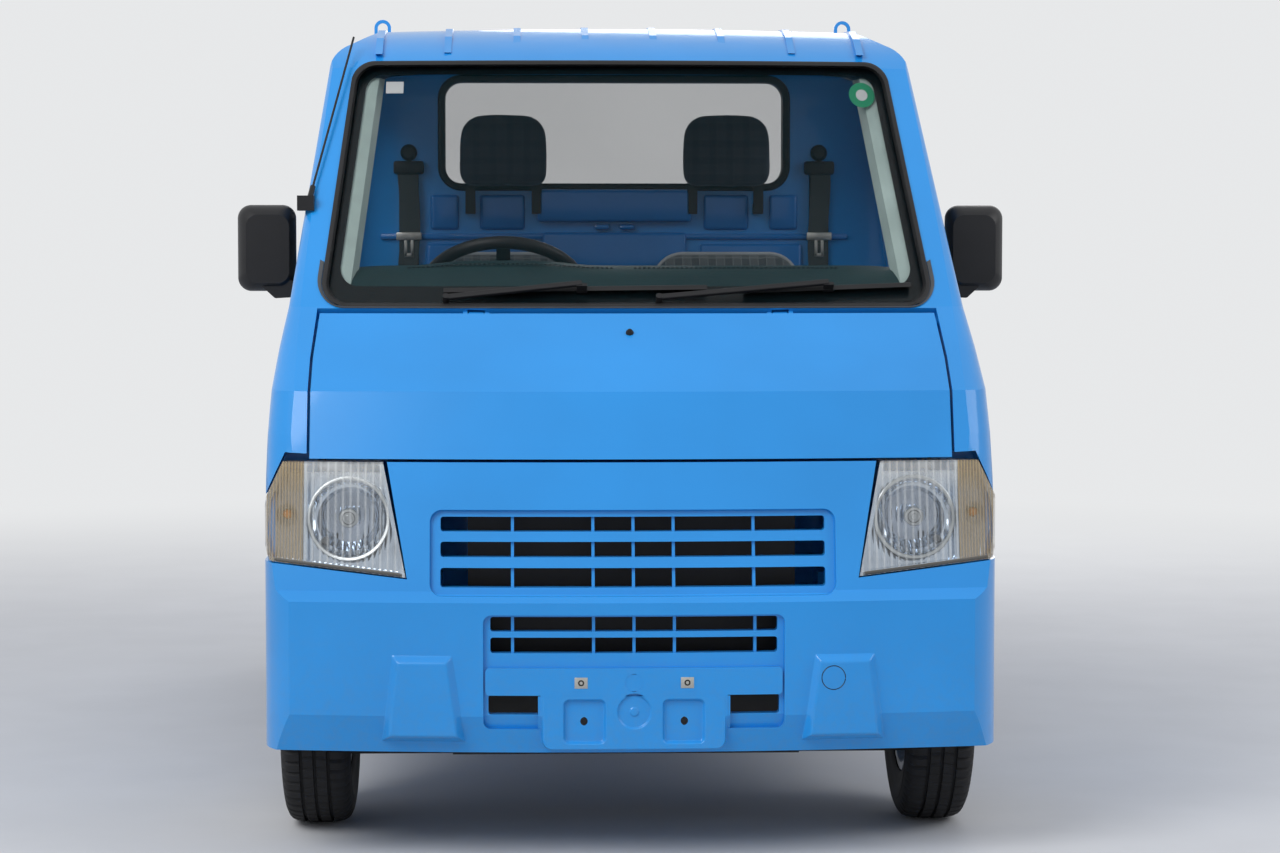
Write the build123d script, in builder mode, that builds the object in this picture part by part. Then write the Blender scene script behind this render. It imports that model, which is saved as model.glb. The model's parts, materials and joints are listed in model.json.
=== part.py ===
from build123d import *
import os
from math import atan2, cos, radians, sin, sqrt, tan

os.makedirs("parts", exist_ok=True)

# Overall sizes in millimetres: X across, Y along with the front at minus Y, Z up from the ground
LENGTH = 3395
WIDTH = 1475
WHEELBASE = 2420
FRONT_AXLE = 530
REAR_AXLE = FRONT_AXLE + WHEELBASE
FRONT_TRACK = 1300
REAR_TRACK = 1290
GAP = 6
FIT = 0.3

# Wheels and tyres
TYRE_R = 271
TYRE_W = 145
RIM_R = 158
RIM_LIP_R = 168
RIM_W = 112
HUB_R = 30
ARCH_R = 315
ARCH_INNER_X = 405
ARCH_WALL = 15
TOWER_X = 505
TOWER_R = 72
TOWER_TOP = 750

# Cab shell: stations are distances behind the front face
CAB_BACK = 1405
CAB_BOTTOM = 350
CAB_BOW = 62
ROOF_CROWN = 14
ROOF_TOP = 1730
WALL = 45
FLOOR_TOP = 450
FLOOR_UNDER = 410
FIREWALL = 335
FIREWALL_BACK = 380
BELT = 1135
GLASS_IN = 14
GLASS_T = 5
SEAT_BOX_TOP = 600
SEAT_BOX_FRONT = 880

# Rounding of the cab's front corners: height, front station, half width, corner radius
CORNER_CLEAR = 1.2
CORNER_ROWS = [
    (CAB_BOTTOM - 20, 24, 737.5, 80),
    (545, 24, 737.5, 80),
    (760, 78, 737.5, 84),
    (850, 103, 735.3, 84),
    (936, 130, 729.0, 80),
    (1020, 234, 719.4, 62),
    (1102, 335, 706.3, 46),
    (1636, 850, 648.3, 40),
    (ROOF_TOP + 30, 974, 636.0, 40),
]

# Doors
DOOR_FRONT = 585
DOOR_BACK = 1330
DOOR_BOTTOM = 385
DOOR_TOP = 1640
DOOR_ARC_R = 375
DOOR_FRAME = 46
DOOR_HEM = 12
DOOR_REBATE = 14
DOOR_TOP_FRONT = 985
DOOR_PILLAR_FOOT = 1221
HANDLE_FRONT = 1165
HANDLE_BACK = 1290
HANDLE_Z = 935
DOOR_HINGE_STATION = 609
DOOR_HINGE_X = 734.8
DOOR_HINGE_Z = 600
DOOR_HINGE_LEAN = 3.3
DOOR_HINGE_HEIGHTS = (700, 1020)
HINGE_PIN_R = 3
HINGE_EYE_R = 5

# Bonnet lid
BONNET_HALF = 646
BONNET_LOW = 803

# Bumper and grilles
BUMPER_BACK = 222
BUMPER_T = 14
NOSE_TOP = 797
SHOULDER = 525
LIP_Z = 225
RECESS = 10
GRILLE_DEPTH = 36

# Bed
BED_FRONT = 1440
BED_FLOOR = 660
BED_SHEET = 20
GATE_TOP = 945
GATE_T = 26
GATE_OUT = WIDTH / 2 - 2.5
GATE_BOTTOM = 664
GATE_HINGE_Z = 650
GATE_HINGE_IN = 4
HEADBOARD_T = 22
RAIL_OUT = 716

# Chassis
RAIL_FRONT = 140
RAIL_X = 347
RAIL_W = 55
RAIL_LOW = 330
REAR_RAIL_LOW = 470
REAR_RAIL_TOP = 560


def at(station):
    """Y of a station, which counts millimetres behind the front face."""
    return station - LENGTH / 2


def cab_section(x, inset):
    """Side outline of the cab on the plane at x, set back by the bow and shrunk by inset."""
    bow = CAB_BOW * (2 * x / WIDTH) ** 2
    crown = ROOF_CROWN * (2 * x / WIDTH) ** 2
    top = ROOF_TOP - crown
    with BuildSketch(Plane.YZ.offset(x)) as section:
        with BuildLine():
            Polyline(
                (at(CAB_BACK), CAB_BOTTOM),
                (at(235), CAB_BOTTOM),
                (at(235), 545),
                (at(26) + bow, 545),
                (at(88) + bow, 800),
                (at(130) + bow, 936),
                (at(335) + bow, 1102),
                (at(850) + bow, 1636 - crown),
            )
            ThreePointArc(
                (at(850) + bow, 1636 - crown), (at(985) + bow * 0.6, top - 27), (at(1170), top)
            )
            ThreePointArc((at(1170), top), (at(1290), top - 3), (at(1370), top - 13))
            Polyline((at(1370), top - 13), (at(CAB_BACK), top - 45), (at(CAB_BACK), CAB_BOTTOM))
        make_face()
        if inset:
            offset(amount=-inset, kind=Kind.INTERSECTION)
    return section.sketch


def cab_form(inset):
    """Cab body shrunk by inset: side sections lofted across, cut to the front outline."""
    reach = WIDTH / 2 + 20
    half = WIDTH / 2
    with BuildPart() as form:
        loft([cab_section(x, inset) for x in (-reach, 0, reach)])
        with BuildSketch(Plane.XZ) as front:
            with BuildLine():
                Line((half, CAB_BOTTOM - 10), (half, 760))
                ThreePointArc((half, 760), (half - 8, 930), (half - 31, 1100))
                Line((half - 31, 1100), (650, 1620))
                ThreePointArc((650, 1620), (638, 1658), (606, 1684))
                Line((606, 1684), (506, 1744))
                Line((506, 1744), (0, 1744))
                Line((0, 1744), (0, CAB_BOTTOM - 10))
                Line((0, CAB_BOTTOM - 10), (half, CAB_BOTTOM - 10))
            make_face()
            mirror(about=Plane.YZ)
            if inset:
                offset(amount=-inset, kind=Kind.INTERSECTION)
        extrude(amount=LENGTH, both=True, mode=Mode.INTERSECT)
    return form.part


def corner_section(height, front, half, radius):
    """Plan outline with rounded front corners that just clears the bowed front and the sides."""
    bow = CAB_BOW * (2 * half / WIDTH) ** 2
    side = half + CORNER_CLEAR
    with BuildSketch(Plane.XY.offset(height)) as section:
        with BuildLine():
            FilletPolyline(
                (-side, at(CAB_BACK + 60)),
                (-side, at(front + bow - CORNER_CLEAR)),
                (0, at(front - bow - CORNER_CLEAR)),
                (side, at(front + bow - CORNER_CLEAR)),
                (side, at(CAB_BACK + 60)),
                radius=[radius, 20, radius],
            )
            Line((side, at(CAB_BACK + 60)), (-side, at(CAB_BACK + 60)))
        make_face()
    return section.sketch


def block(x0, x1, s0, s1, z0, z1):
    """Plain block between two X values, two stations and two heights."""
    with BuildPart() as made:
        with Locations(((x0 + x1) / 2, at((s0 + s1) / 2), (z0 + z1) / 2)):
            Box(abs(x1 - x0), abs(s1 - s0), abs(z1 - z0))
    return made.part


def side_prism(points, x0, x1):
    """Prism across the truck between x0 and x1 from a side outline of (station, height)."""
    with BuildPart() as made:
        with BuildSketch(Plane.YZ.offset(x0)):
            with BuildLine():
                Polyline(*[(at(s), z) for s, z in points], close=True)
            make_face()
        extrude(amount=x1 - x0)
    return made.part


def front_prism(points, s0, s1, radius=0):
    """Prism along the truck between two stations from a front outline of (x, height)."""
    with BuildPart() as made:
        with BuildSketch(Plane.XZ.offset(-at(s1))):
            with BuildLine():
                if radius:
                    FilletPolyline(*points, radius=radius, close=True)
                else:
                    Polyline(*points, close=True)
            make_face()
        extrude(amount=s1 - s0)
    return made.part


def rect(x0, x1, z0, z1):
    """Corners of a front-view rectangle."""
    return [(x0, z0), (x1, z0), (x1, z1), (x0, z1)]


def mirrored(points):
    """The same front outline on the other side of the middle."""
    return [(-x, z) for x, z in reversed(points)]


def cylinder_x(station, z, radius, x0, x1):
    """Round bar or bore across the truck."""
    with BuildPart() as made:
        with BuildSketch(Plane.YZ.offset(x0)):
            with Locations((at(station), z)):
                Circle(radius)
        extrude(amount=x1 - x0)
    return made.part


def door_outline(shrink):
    """Door outline in side view, shrunk by shrink, with its corner cut round the wheel arch."""
    arc_r = DOOR_ARC_R + shrink
    front = DOOR_FRONT + shrink
    low = DOOR_BOTTOM + shrink
    axle_z = TYRE_R
    arc_top = axle_z + sqrt(arc_r**2 - (front - FRONT_AXLE) ** 2)
    arc_end = FRONT_AXLE + sqrt(arc_r**2 - (low - axle_z) ** 2)
    middle = radians(50)
    arc_middle = (FRONT_AXLE + arc_r * sin(middle), axle_z + arc_r * cos(middle))
    return front, low, arc_top, arc_end, arc_middle


def door_prism(shrink, x0, x1):
    """Prism across one side of the cab from the door outline."""
    front, low, arc_top, arc_end, arc_middle = door_outline(shrink)
    back = DOOR_BACK - shrink
    top = DOOR_TOP - shrink
    with BuildPart() as made:
        with BuildSketch(Plane.YZ.offset(x0)):
            with BuildLine():
                Polyline(
                    (at(arc_end), low),
                    (at(back), low),
                    (at(back), top),
                    (at(DOOR_TOP_FRONT + shrink * 0.5), top),
                    (at(front), DOOR_PILLAR_FOOT - shrink * 0.5),
                    (at(front), arc_top),
                )
                ThreePointArc(
                    (at(front), arc_top), (at(arc_middle[0]), arc_middle[1]), (at(arc_end), low)
                )
            make_face()
        extrude(amount=x1 - x0)
    return made.part


# Side outlines of (station, height) for the dash, the seats and the frame rail
DASH_SIDE = [
    (FIREWALL_BACK + FIT, 1120),
    (620, 1098),
    (668, 1060),
    (672, 960),
    (640, 880),
    (540, 860),
    (FIREWALL_BACK + FIT, 900),
]
CUSHION_SIDE = [(882, 600.3), (1270, 600.3), (1290, 770), (1200, 770), (860, 790), (820, 740), (830, 640)]
BACK_SIDE = [(1225, 770.3), (1330, 770.3), (1359.7, 1190), (1340, 1232), (1290, 1225)]
RAIL_SIDE = [
    (RAIL_FRONT, RAIL_LOW),
    (1460, RAIL_LOW),
    (1620, REAR_RAIL_LOW),
    (LENGTH - 60, REAR_RAIL_LOW),
    (LENGTH - 60, REAR_RAIL_TOP),
    (1570, REAR_RAIL_TOP),
    (CAB_BACK + 10, FLOOR_UNDER),
    (RAIL_FRONT, FLOOR_UNDER),
]
SEAT_X = 265
SEAT_HALF = 215
CROSSMEMBERS = (1600, 2020, 2440, 2870, 3310)
GATE_PANELS = [(1500, 1900), (1960, 2400), (2460, 2900), (2960, 3320)]
GATE_HINGES = (1600, 2150, 2700, 3230)
TAIL_HINGES = (-560, -190, 190, 560)
CROSS_TUBES = [
    (175, RAIL_LOW, FLOOR_UNDER),
    (800, RAIL_LOW, FLOOR_UNDER - 10),
    (1700, REAR_RAIL_LOW, REAR_RAIL_TOP - 10),
    (2650, REAR_RAIL_LOW, REAR_RAIL_TOP - 10),
    (LENGTH - 95, REAR_RAIL_LOW, REAR_RAIL_TOP),
]
COLUMN_TILT = 52
COLUMN_R = 24
WHEEL_RING_R = 172
COLUMN_PLANE = Plane(
    origin=(-261, at(770), 1130),
    x_dir=(1, 0, 0),
    z_dir=(0, cos(radians(COLUMN_TILT)), sin(radians(COLUMN_TILT))),
)


def door_hinge_plane(side, height):
    """Plane square to the leaning door axis at a height, its x pointing outboard."""
    lean = radians(DOOR_HINGE_LEAN)
    drop = (height - DOOR_HINGE_Z) * sin(lean) / cos(lean)
    return Plane(
        origin=(side * (DOOR_HINGE_X - drop), at(DOOR_HINGE_STATION), height),
        x_dir=(side * cos(lean), 0, sin(lean)),
        z_dir=(-side * sin(lean), 0, cos(lean)),
    )


def hinge_block(plane, x0, x1, y0, y1, half):
    """Block in a hinge plane, y rearward on both sides of the truck, half its height each way."""
    rear = 1 if plane.y_dir.Y > 0 else -1
    with BuildPart() as made:
        with BuildSketch(plane.offset(-half)):
            with Locations(((x0 + x1) / 2, rear * (y0 + y1) / 2)):
                Rectangle(x1 - x0, y1 - y0)
        extrude(amount=2 * half)
    return made.part


def hinge_bar(plane, radius, half):
    """Round bar on a hinge axis, half its length each way."""
    with BuildPart() as made:
        with BuildSketch(plane.offset(-half)):
            Circle(radius)
        extrude(amount=2 * half)
    return made.part


def door_hinge_eye(side, height):
    """Eye on its bent plate from the front face of the door opening."""
    plane = door_hinge_plane(side, height)
    reach = DOOR_HINGE_STATION - DOOR_FRONT + 2
    with BuildPart() as eye:
        add(hinge_block(plane, -30, 0, -3, 3, 14))
        add(hinge_block(plane, -30, -24, -reach, 3, 14))
        add(hinge_bar(plane, HINGE_EYE_R, 14))
        add(hinge_bar(plane, HINGE_PIN_R + FIT, 20), mode=Mode.SUBTRACT)
    return eye.part


def bowed_loft(points):
    """Solid lofted across the truck from a side outline of (station, height) that bows back."""
    reach = WIDTH / 2 + 20
    sections = []
    for x in (-reach, 0, reach):
        bow = CAB_BOW * (2 * x / WIDTH) ** 2
        with BuildSketch(Plane.YZ.offset(x)) as section:
            with BuildLine():
                Polyline(*[(at(s) + bow, z) for s, z in points], close=True)
            make_face()
        sections.append(section.sketch)
    with BuildPart() as made:
        loft(sections)
    return made.part


OUTER = cab_form(0)
DASH_FORM = cab_form(WALL + 2)
INNER = cab_form(WALL)
HEM = cab_form(DOOR_HEM)
LID_SIDE = [(89, BONNET_LOW), (130, 936), (319, 1089), (331, 1074.5), (145, 926), (107, BONNET_LOW)]
NOSE_ROOM_SIDE = [
    (60, 700),
    (80, 797),
    (124, 938),
    (322, 1100),
    (348, 1076),
    (348, 1040),
    (FIREWALL, 1020),
    (FIREWALL, 560),
    (60, 560),
]
LID_HINGE = (353, 1086)
LID_LUG = [(322, 1074), (334, 1060), (357, 1081), (348, 1090)]
LID_LUG_X = 315
LID_LUG_W = 30
GLASS_OUT = cab_form(GLASS_IN)
GLASS_BACK = cab_form(GLASS_IN + GLASS_T)

# Front outlines of (x, height) shared by lamps, bumper and nose
LAMP = [(452, 571), (726, 602), (746, 655), (733, 727), (693, 811), (499, 800)]
LAMP_ROOM = [(449, 568), (729, 599), (800, 599), (800, 830), (496, 830)]
NOSE_BACK = 235
NOSE_CUT = [(770, 300), (770, 597), (760, 655), (737, 730), (696, 815), (496, 806), (496, BONNET_LOW - 3)]
LID_FRONT = [
    (-BONNET_HALF, 780),
    (BONNET_HALF, 780),
    (BONNET_HALF, 1000),
    (637, 1110),
    (-637, 1110),
    (-BONNET_HALF, 1000),
]
LID_CUT_FRONT = [(-652, 770), (652, 770), (652, 1000), (643, 1120), (-643, 1120), (-652, 1000)]
LID_CUT_SIDE = [
    (40, 797),
    (80, 797),
    (100, 930),
    (312, 1102),
    (330, 1101),
    (349, 1076),
    (150, 915),
    (117, 797),
]
ROOF_RIBS = (-540, -386, -231, -77, 77, 231, 386, 540)
ROOF_RIB_SIDE = [
    (905, 1665),
    (985, ROOF_TOP - 24),
    (1080, ROOF_TOP),
    (1170, ROOF_TOP + 5),
    (1290, ROOF_TOP + 2),
    (1372, ROOF_TOP - 9),
    (1380, ROOF_TOP - 25),
    (1290, ROOF_TOP - 25),
    (1000, ROOF_TOP - 45),
    (925, 1665),
]
WINDSCREEN = [(-636, 1104), (636, 1104), (588, 1634), (-588, 1634)]
REAR_WINDOW = rect(-410, 410, 1373, 1626)

# Room inside the cab, with the wheel houses and the seat box left standing
with BuildPart() as cabin_room:
    add(INNER)
    add(block(-800, 800, FIREWALL_BACK, CAB_BACK, FLOOR_TOP, 1800), mode=Mode.INTERSECT)
    for side in (-1, 1):
        add(
            cylinder_x(FRONT_AXLE, TYRE_R, ARCH_R + ARCH_WALL, side * 760, side * (ARCH_INNER_X - ARCH_WALL)),
            mode=Mode.SUBTRACT,
        )
    for side in (-1, 1):
        with BuildSketch(Plane.XY.offset(500)):
            with Locations((side * TOWER_X, at(FRONT_AXLE))):
                Circle(TOWER_R + ARCH_WALL)
        extrude(amount=TOWER_TOP + ARCH_WALL - 500, mode=Mode.SUBTRACT)
    add(block(-700, 700, SEAT_BOX_FRONT, CAB_BACK, FLOOR_TOP, SEAT_BOX_TOP), mode=Mode.SUBTRACT)

# Room under the bonnet, open downwards behind the radiator
with BuildPart() as nose_room:
    add(bowed_loft(NOSE_ROOM_SIDE))
    add(block(-636, 636, 0, 420, 560, 1110), mode=Mode.INTERSECT)
    add(block(-ARCH_INNER_X + 20, ARCH_INNER_X - 20, 200, FIREWALL, 300, 620))
    for side in (-1, 1):
        add(
            cylinder_x(FRONT_AXLE, TYRE_R, ARCH_R + ARCH_WALL, side * 760, side * (ARCH_INNER_X - ARCH_WALL)),
            mode=Mode.SUBTRACT,
        )

with BuildPart() as cab_shell:
    add(OUTER)
    add(cabin_room.part, mode=Mode.SUBTRACT)
    add(nose_room.part, mode=Mode.SUBTRACT)
    add(block(-640, 640, 200, CAB_BACK + 10, CAB_BOTTOM - 20, FLOOR_UNDER), mode=Mode.SUBTRACT)
    add(front_prism(NOSE_CUT + mirrored(NOSE_CUT), -60, NOSE_BACK), mode=Mode.SUBTRACT)
    add(bowed_loft(LID_CUT_SIDE) & front_prism(LID_CUT_FRONT, -60, 450), mode=Mode.SUBTRACT)
    add(front_prism(WINDSCREEN, FIREWALL + 2, 1000, 50), mode=Mode.SUBTRACT)
    add(front_prism(REAR_WINDOW, 1300, 1500, 45), mode=Mode.SUBTRACT)
    with BuildPart(mode=Mode.PRIVATE) as rounded:
        loft([corner_section(*row) for row in CORNER_ROWS], ruled=True)
    add(rounded.part, mode=Mode.INTERSECT)
    for side in (-1, 1):
        add(cylinder_x(FRONT_AXLE, TYRE_R, ARCH_R, side * 780, side * ARCH_INNER_X), mode=Mode.SUBTRACT)
        with BuildSketch(Plane.XY.offset(500)):
            with Locations((side * TOWER_X, at(FRONT_AXLE))):
                Circle(TOWER_R)
        extrude(amount=TOWER_TOP - 500, mode=Mode.SUBTRACT)
        add(door_prism(0, side * 560, side * 800), mode=Mode.SUBTRACT)
    # Cowl ears and pins that carry the bonnet, each side of a round pocket for its eye
    for side in (-1, 1):
        x0, x1 = sorted((side * (LID_LUG_X - 18), side * (LID_LUG_X + 18)))
        add(cylinder_x(*LID_HINGE, 13, x0, x1), mode=Mode.SUBTRACT)
        for low in (x0 - 9, x1):
            add(cylinder_x(*LID_HINGE, 8, low, low + 9))
        add(cylinder_x(*LID_HINGE, HINGE_PIN_R, x0 - 5, x1 + 5))
        for height in DOOR_HINGE_HEIGHTS:
            add(door_hinge_eye(side, height))
    for x in ROOF_RIBS:
        drop = ROOF_CROWN * (2 * x / WIDTH) ** 2
        add(side_prism([(s, z - drop) for s, z in ROOF_RIB_SIDE], x - 8, x + 8))
cab_shell.part.label = "cab_shell"
export_step(cab_shell.part, "parts/cab_shell.step")

with BuildPart() as windscreen:
    add(GLASS_OUT)
    add(GLASS_BACK, mode=Mode.SUBTRACT)
    add(front_prism(WINDSCREEN, FIREWALL + 2, 1000, 50), mode=Mode.INTERSECT)
windscreen.part.label = "windscreen"
export_step(windscreen.part, "parts/windscreen.step")

with BuildPart() as rear_window:
    add(front_prism(REAR_WINDOW, CAB_BACK - 25, CAB_BACK - 20, 45))
rear_window.part.label = "rear_window"
export_step(rear_window.part, "parts/rear_window.step")

# Bonnet lid: a skin of the nose, hinged at the foot of the windscreen
with BuildPart() as bonnet:
    add(bowed_loft(LID_SIDE))
    add(front_prism(LID_FRONT, 0, 420), mode=Mode.INTERSECT)
    for side in (-1, 1):
        x0 = side * LID_LUG_X - LID_LUG_W / 2
        x1 = side * LID_LUG_X + LID_LUG_W / 2
        add(side_prism(LID_LUG, x0, x1))
        add(cylinder_x(*LID_HINGE, 6, x0, x1))
        add(cylinder_x(*LID_HINGE, HINGE_PIN_R + FIT, x0, x1), mode=Mode.SUBTRACT)
bonnet.part.label = "bonnet"
export_step(bonnet.part, "parts/bonnet.step")

# Doors with their glass and mirrors, built on the left and mirrored to the right
DOOR_INNER_X = 560
DOOR_OUTER_X = 800
with BuildPart() as door_skin:
    add(OUTER)
    add(HEM, mode=Mode.SUBTRACT)
    add(door_prism(GAP, DOOR_INNER_X, DOOR_OUTER_X), mode=Mode.INTERSECT)
with BuildPart() as door_inner:
    add(HEM)
    add(INNER, mode=Mode.SUBTRACT)
    add(door_prism(GAP + DOOR_REBATE, DOOR_INNER_X, DOOR_OUTER_X), mode=Mode.INTERSECT)
with BuildPart() as window_hole:
    add(door_prism(DOOR_FRAME, DOOR_INNER_X, DOOR_OUTER_X))
    add(block(-900, 900, 0, 1500, BELT, 1800), mode=Mode.INTERSECT)
with BuildPart() as door:
    add(door_skin.part)
    add(door_inner.part)
    add(window_hole.part, mode=Mode.SUBTRACT)
    # Handle: a bar over a hand pocket, with the sill ledge of the window above it
    add(
        block(700, 745, HANDLE_FRONT + 12, HANDLE_BACK - 12, HANDLE_Z - 22, HANDLE_Z + 22),
        mode=Mode.SUBTRACT,
    )
    add(block(690, 700, HANDLE_FRONT + 4, HANDLE_BACK - 4, HANDLE_Z - 30, HANDLE_Z + 30))
    with BuildSketch(Plane.XY.offset(HANDLE_Z - 11)):
        with BuildLine():
            FilletPolyline(
                (706, at(HANDLE_FRONT)),
                (740, at(HANDLE_FRONT)),
                (740, at(HANDLE_BACK)),
                (706, at(HANDLE_BACK)),
                (706, at(HANDLE_BACK - 24)),
                (728, at(HANDLE_BACK - 24)),
                (728, at(HANDLE_FRONT + 24)),
                (706, at(HANDLE_FRONT + 24)),
                radius=5,
                close=True,
            )
        make_face()
    extrude(amount=22)
    for height in DOOR_HINGE_HEIGHTS:
        plane = door_hinge_plane(1, height)
        add(hinge_block(plane, -60, HINGE_EYE_R + 1, -30, 16, 22), mode=Mode.SUBTRACT)
        add(hinge_bar(plane, HINGE_PIN_R, 26))
with BuildPart() as door_glass:
    add(GLASS_OUT)
    add(GLASS_BACK, mode=Mode.SUBTRACT)
    add(window_hole.part, mode=Mode.INTERSECT)
with BuildPart() as door_mirror:
    with BuildSketch(Plane.XZ.offset(-at(812))):
        with Locations((781, 1224)):
            RectangleRounded(118, 178, 26)
    with BuildSketch(Plane.XZ.offset(-at(775))):
        with Locations((781, 1224)):
            RectangleRounded(127, 188, 30)
    with BuildSketch(Plane.XZ.offset(-at(738))):
        with Locations((777, 1222)):
            RectangleRounded(94, 150, 26)
    loft()
    with BuildSketch(Plane.XZ.offset(-at(812))):
        with Locations((781, 1224)):
            RectangleRounded(106, 166, 22)
    extrude(amount=6, mode=Mode.SUBTRACT)
    with BuildSketch(Plane.XZ.offset(-at(772))):
        with BuildLine():
            FilletPolyline(
                (690, 1118), (762, 1114), (790, 1140), (790, 1170), (752, 1170), (724, 1152), (690, 1152),
                radius=8,
                close=True,
            )
        make_face()
    extrude(amount=26)
    add(OUTER, mode=Mode.SUBTRACT)

for name, half in (("door", door), ("door_glass", door_glass), ("mirror", door_mirror)):
    with BuildPart() as left_piece:
        add(half.part)
    left_piece.part.label = f"{name}_left"
    export_step(left_piece.part, f"parts/{name}_left.step")
    with BuildPart() as right_piece:
        add(mirror(half.part, about=Plane.YZ))
    right_piece.part.label = f"{name}_right"
    export_step(right_piece.part, f"parts/{name}_right.step")


def bumper_section(x, inset, back):
    """Side outline of the bumper on the plane at x."""
    bow = CAB_BOW * (2 * x / WIDTH) ** 2
    with BuildSketch(Plane.YZ.offset(x)) as section:
        with BuildLine():
            Polyline(
                (at(back), LIP_Z),
                (at(26) + bow, LIP_Z),
                (at(0) + bow, 300),
                (at(0) + bow, SHOULDER),
                (at(26) + bow, SHOULDER + 20),
                (at(87) + bow, NOSE_TOP),
                (at(back), NOSE_TOP),
                (at(back), LIP_Z),
            )
        make_face()
        if inset:
            offset(amount=-inset, kind=Kind.INTERSECTION)
    return section.sketch


def bumper_form(inset, back=BUMPER_BACK):
    """Bumper shrunk by inset: side sections lofted across, corners rounded in plan."""
    half = WIDTH / 2 - inset
    corner = 150 - inset
    with BuildPart() as form:
        loft([bumper_section(x, inset, back) for x in (-WIDTH / 2 - 20, 0, WIDTH / 2 + 20)])
        with BuildSketch(Plane.XY):
            with BuildLine():
                FilletPolyline(
                    (-half, at(back + 20)),
                    (-half, at(45)),
                    (0, at(-95)),
                    (half, at(45)),
                    (half, at(back + 20)),
                    radius=[corner, 20, corner],
                )
                Line((half, at(back + 20)), (-half, at(back + 20)))
            make_face()
        extrude(amount=1000, mode=Mode.INTERSECT)
    return form.part


BUMPER_OUT = bumper_form(0)
BUMPER_IN = bumper_form(BUMPER_T, BUMPER_BACK + 2 * BUMPER_T + 20)
BUMPER_RECESS = bumper_form(RECESS)
BUMPER_DEEP = bumper_form(GRILLE_DEPTH, BUMPER_BACK + 100)
BUMPER_RIB = bumper_form(RECESS + 8)
GRILLE_END = 130

UPPER_RECESS = rect(-404, 404, 536, 704)
LOWER_RECESS = rect(-298, 298, 274, 501)
UPPER_ROWS = [(552, 590), (611, 641), (661, 690)]
LOWER_ROWS = [(425, 456), (468, 497)]
RIB_X = (-240, -80, 0, 80, 240)
RIB_T = 6
BULGE = [(330, 246), (505, 246), (482, 412), (356, 412)]
BULGE_PROUD = 13
BULGE_TAPER = 24
BRACKET_ROUNDS = [(309, 37, 7), (367, 18, 16), (309, 6, 60)]
PLATE_NUT_X = 105
PLATE_NUT_Z = 367
PLATE_HOLE_R = 3.3
PLATE_FACE = 1

# Bumper in one moulding with both grilles and the plate bracket
with BuildPart() as front_bumper:
    add(BUMPER_OUT)
    add(BUMPER_IN, mode=Mode.SUBTRACT)
    for outline in (LAMP_ROOM, mirrored(LAMP_ROOM)):
        add(front_prism(outline, -60, BUMPER_BACK + 20), mode=Mode.SUBTRACT)
    add(front_prism(UPPER_RECESS, -20, GRILLE_END, 24), mode=Mode.SUBTRACT)
    add(front_prism(LOWER_RECESS, -20, GRILLE_END, 16), mode=Mode.SUBTRACT)
with BuildPart() as grille_frames:
    add(BUMPER_RECESS)
    add(BUMPER_DEEP, mode=Mode.SUBTRACT)
    with BuildPart(mode=Mode.PRIVATE) as frames:
        add(front_prism(rect(-410, 410, 530, 710), -20, GRILLE_END, 28))
        add(front_prism(rect(-304, 304, 268, 507), -20, GRILLE_END, 20))
    add(frames.part, mode=Mode.INTERSECT)
    for low, high in UPPER_ROWS:
        add(front_prism(rect(-383, 383, low, high), -20, GRILLE_END, 6), mode=Mode.SUBTRACT)
    for low, high in LOWER_ROWS:
        add(front_prism(rect(-284, 284, low, high), -20, GRILLE_END, 6), mode=Mode.SUBTRACT)
    for side in (-1, 1):
        x0, x1 = sorted((side * 157, side * 288))
        add(front_prism(rect(x0, x1, 303, 342), -20, GRILLE_END, 6), mode=Mode.SUBTRACT)
with BuildPart() as grille_ribs:
    add(BUMPER_RIB)
    add(BUMPER_DEEP, mode=Mode.SUBTRACT)
    with BuildPart(mode=Mode.PRIVATE) as ribs:
        for x in RIB_X:
            add(front_prism(rect(x - RIB_T / 2, x + RIB_T / 2, 540, 700), -20, GRILLE_END))
            add(front_prism(rect(x - RIB_T / 2, x + RIB_T / 2, 420, 500), -20, GRILLE_END))
    add(ribs.part, mode=Mode.INTERSECT)
with BuildPart() as plate_bracket:
    add(BUMPER_OUT)
    add(BUMPER_DEEP, mode=Mode.SUBTRACT)
    with BuildPart(mode=Mode.PRIVATE) as bracket:
        add(front_prism(rect(-294, 294, 342, 396), -20, GRILLE_END, 8))
        add(front_prism(rect(-185, 185, LIP_Z + 1, 390), -20, GRILLE_END, 12))
    add(bracket.part, mode=Mode.INTERSECT)
    for side in (-1, 1):
        add(front_prism(rect(side * 96 - 46, side * 96 + 46, 238, 336), -20, 26, 14), mode=Mode.SUBTRACT)
        add(front_prism(rect(side * 96 - 10, side * 96 + 10, 274, 294), 20, 60, 9), mode=Mode.SUBTRACT)
    for centre_z, radius, depth in BRACKET_ROUNDS:
        with BuildSketch(Plane.XZ.offset(-at(depth))):
            with Locations((0, centre_z)):
                Circle(radius)
        extrude(amount=60, mode=Mode.SUBTRACT)
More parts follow.
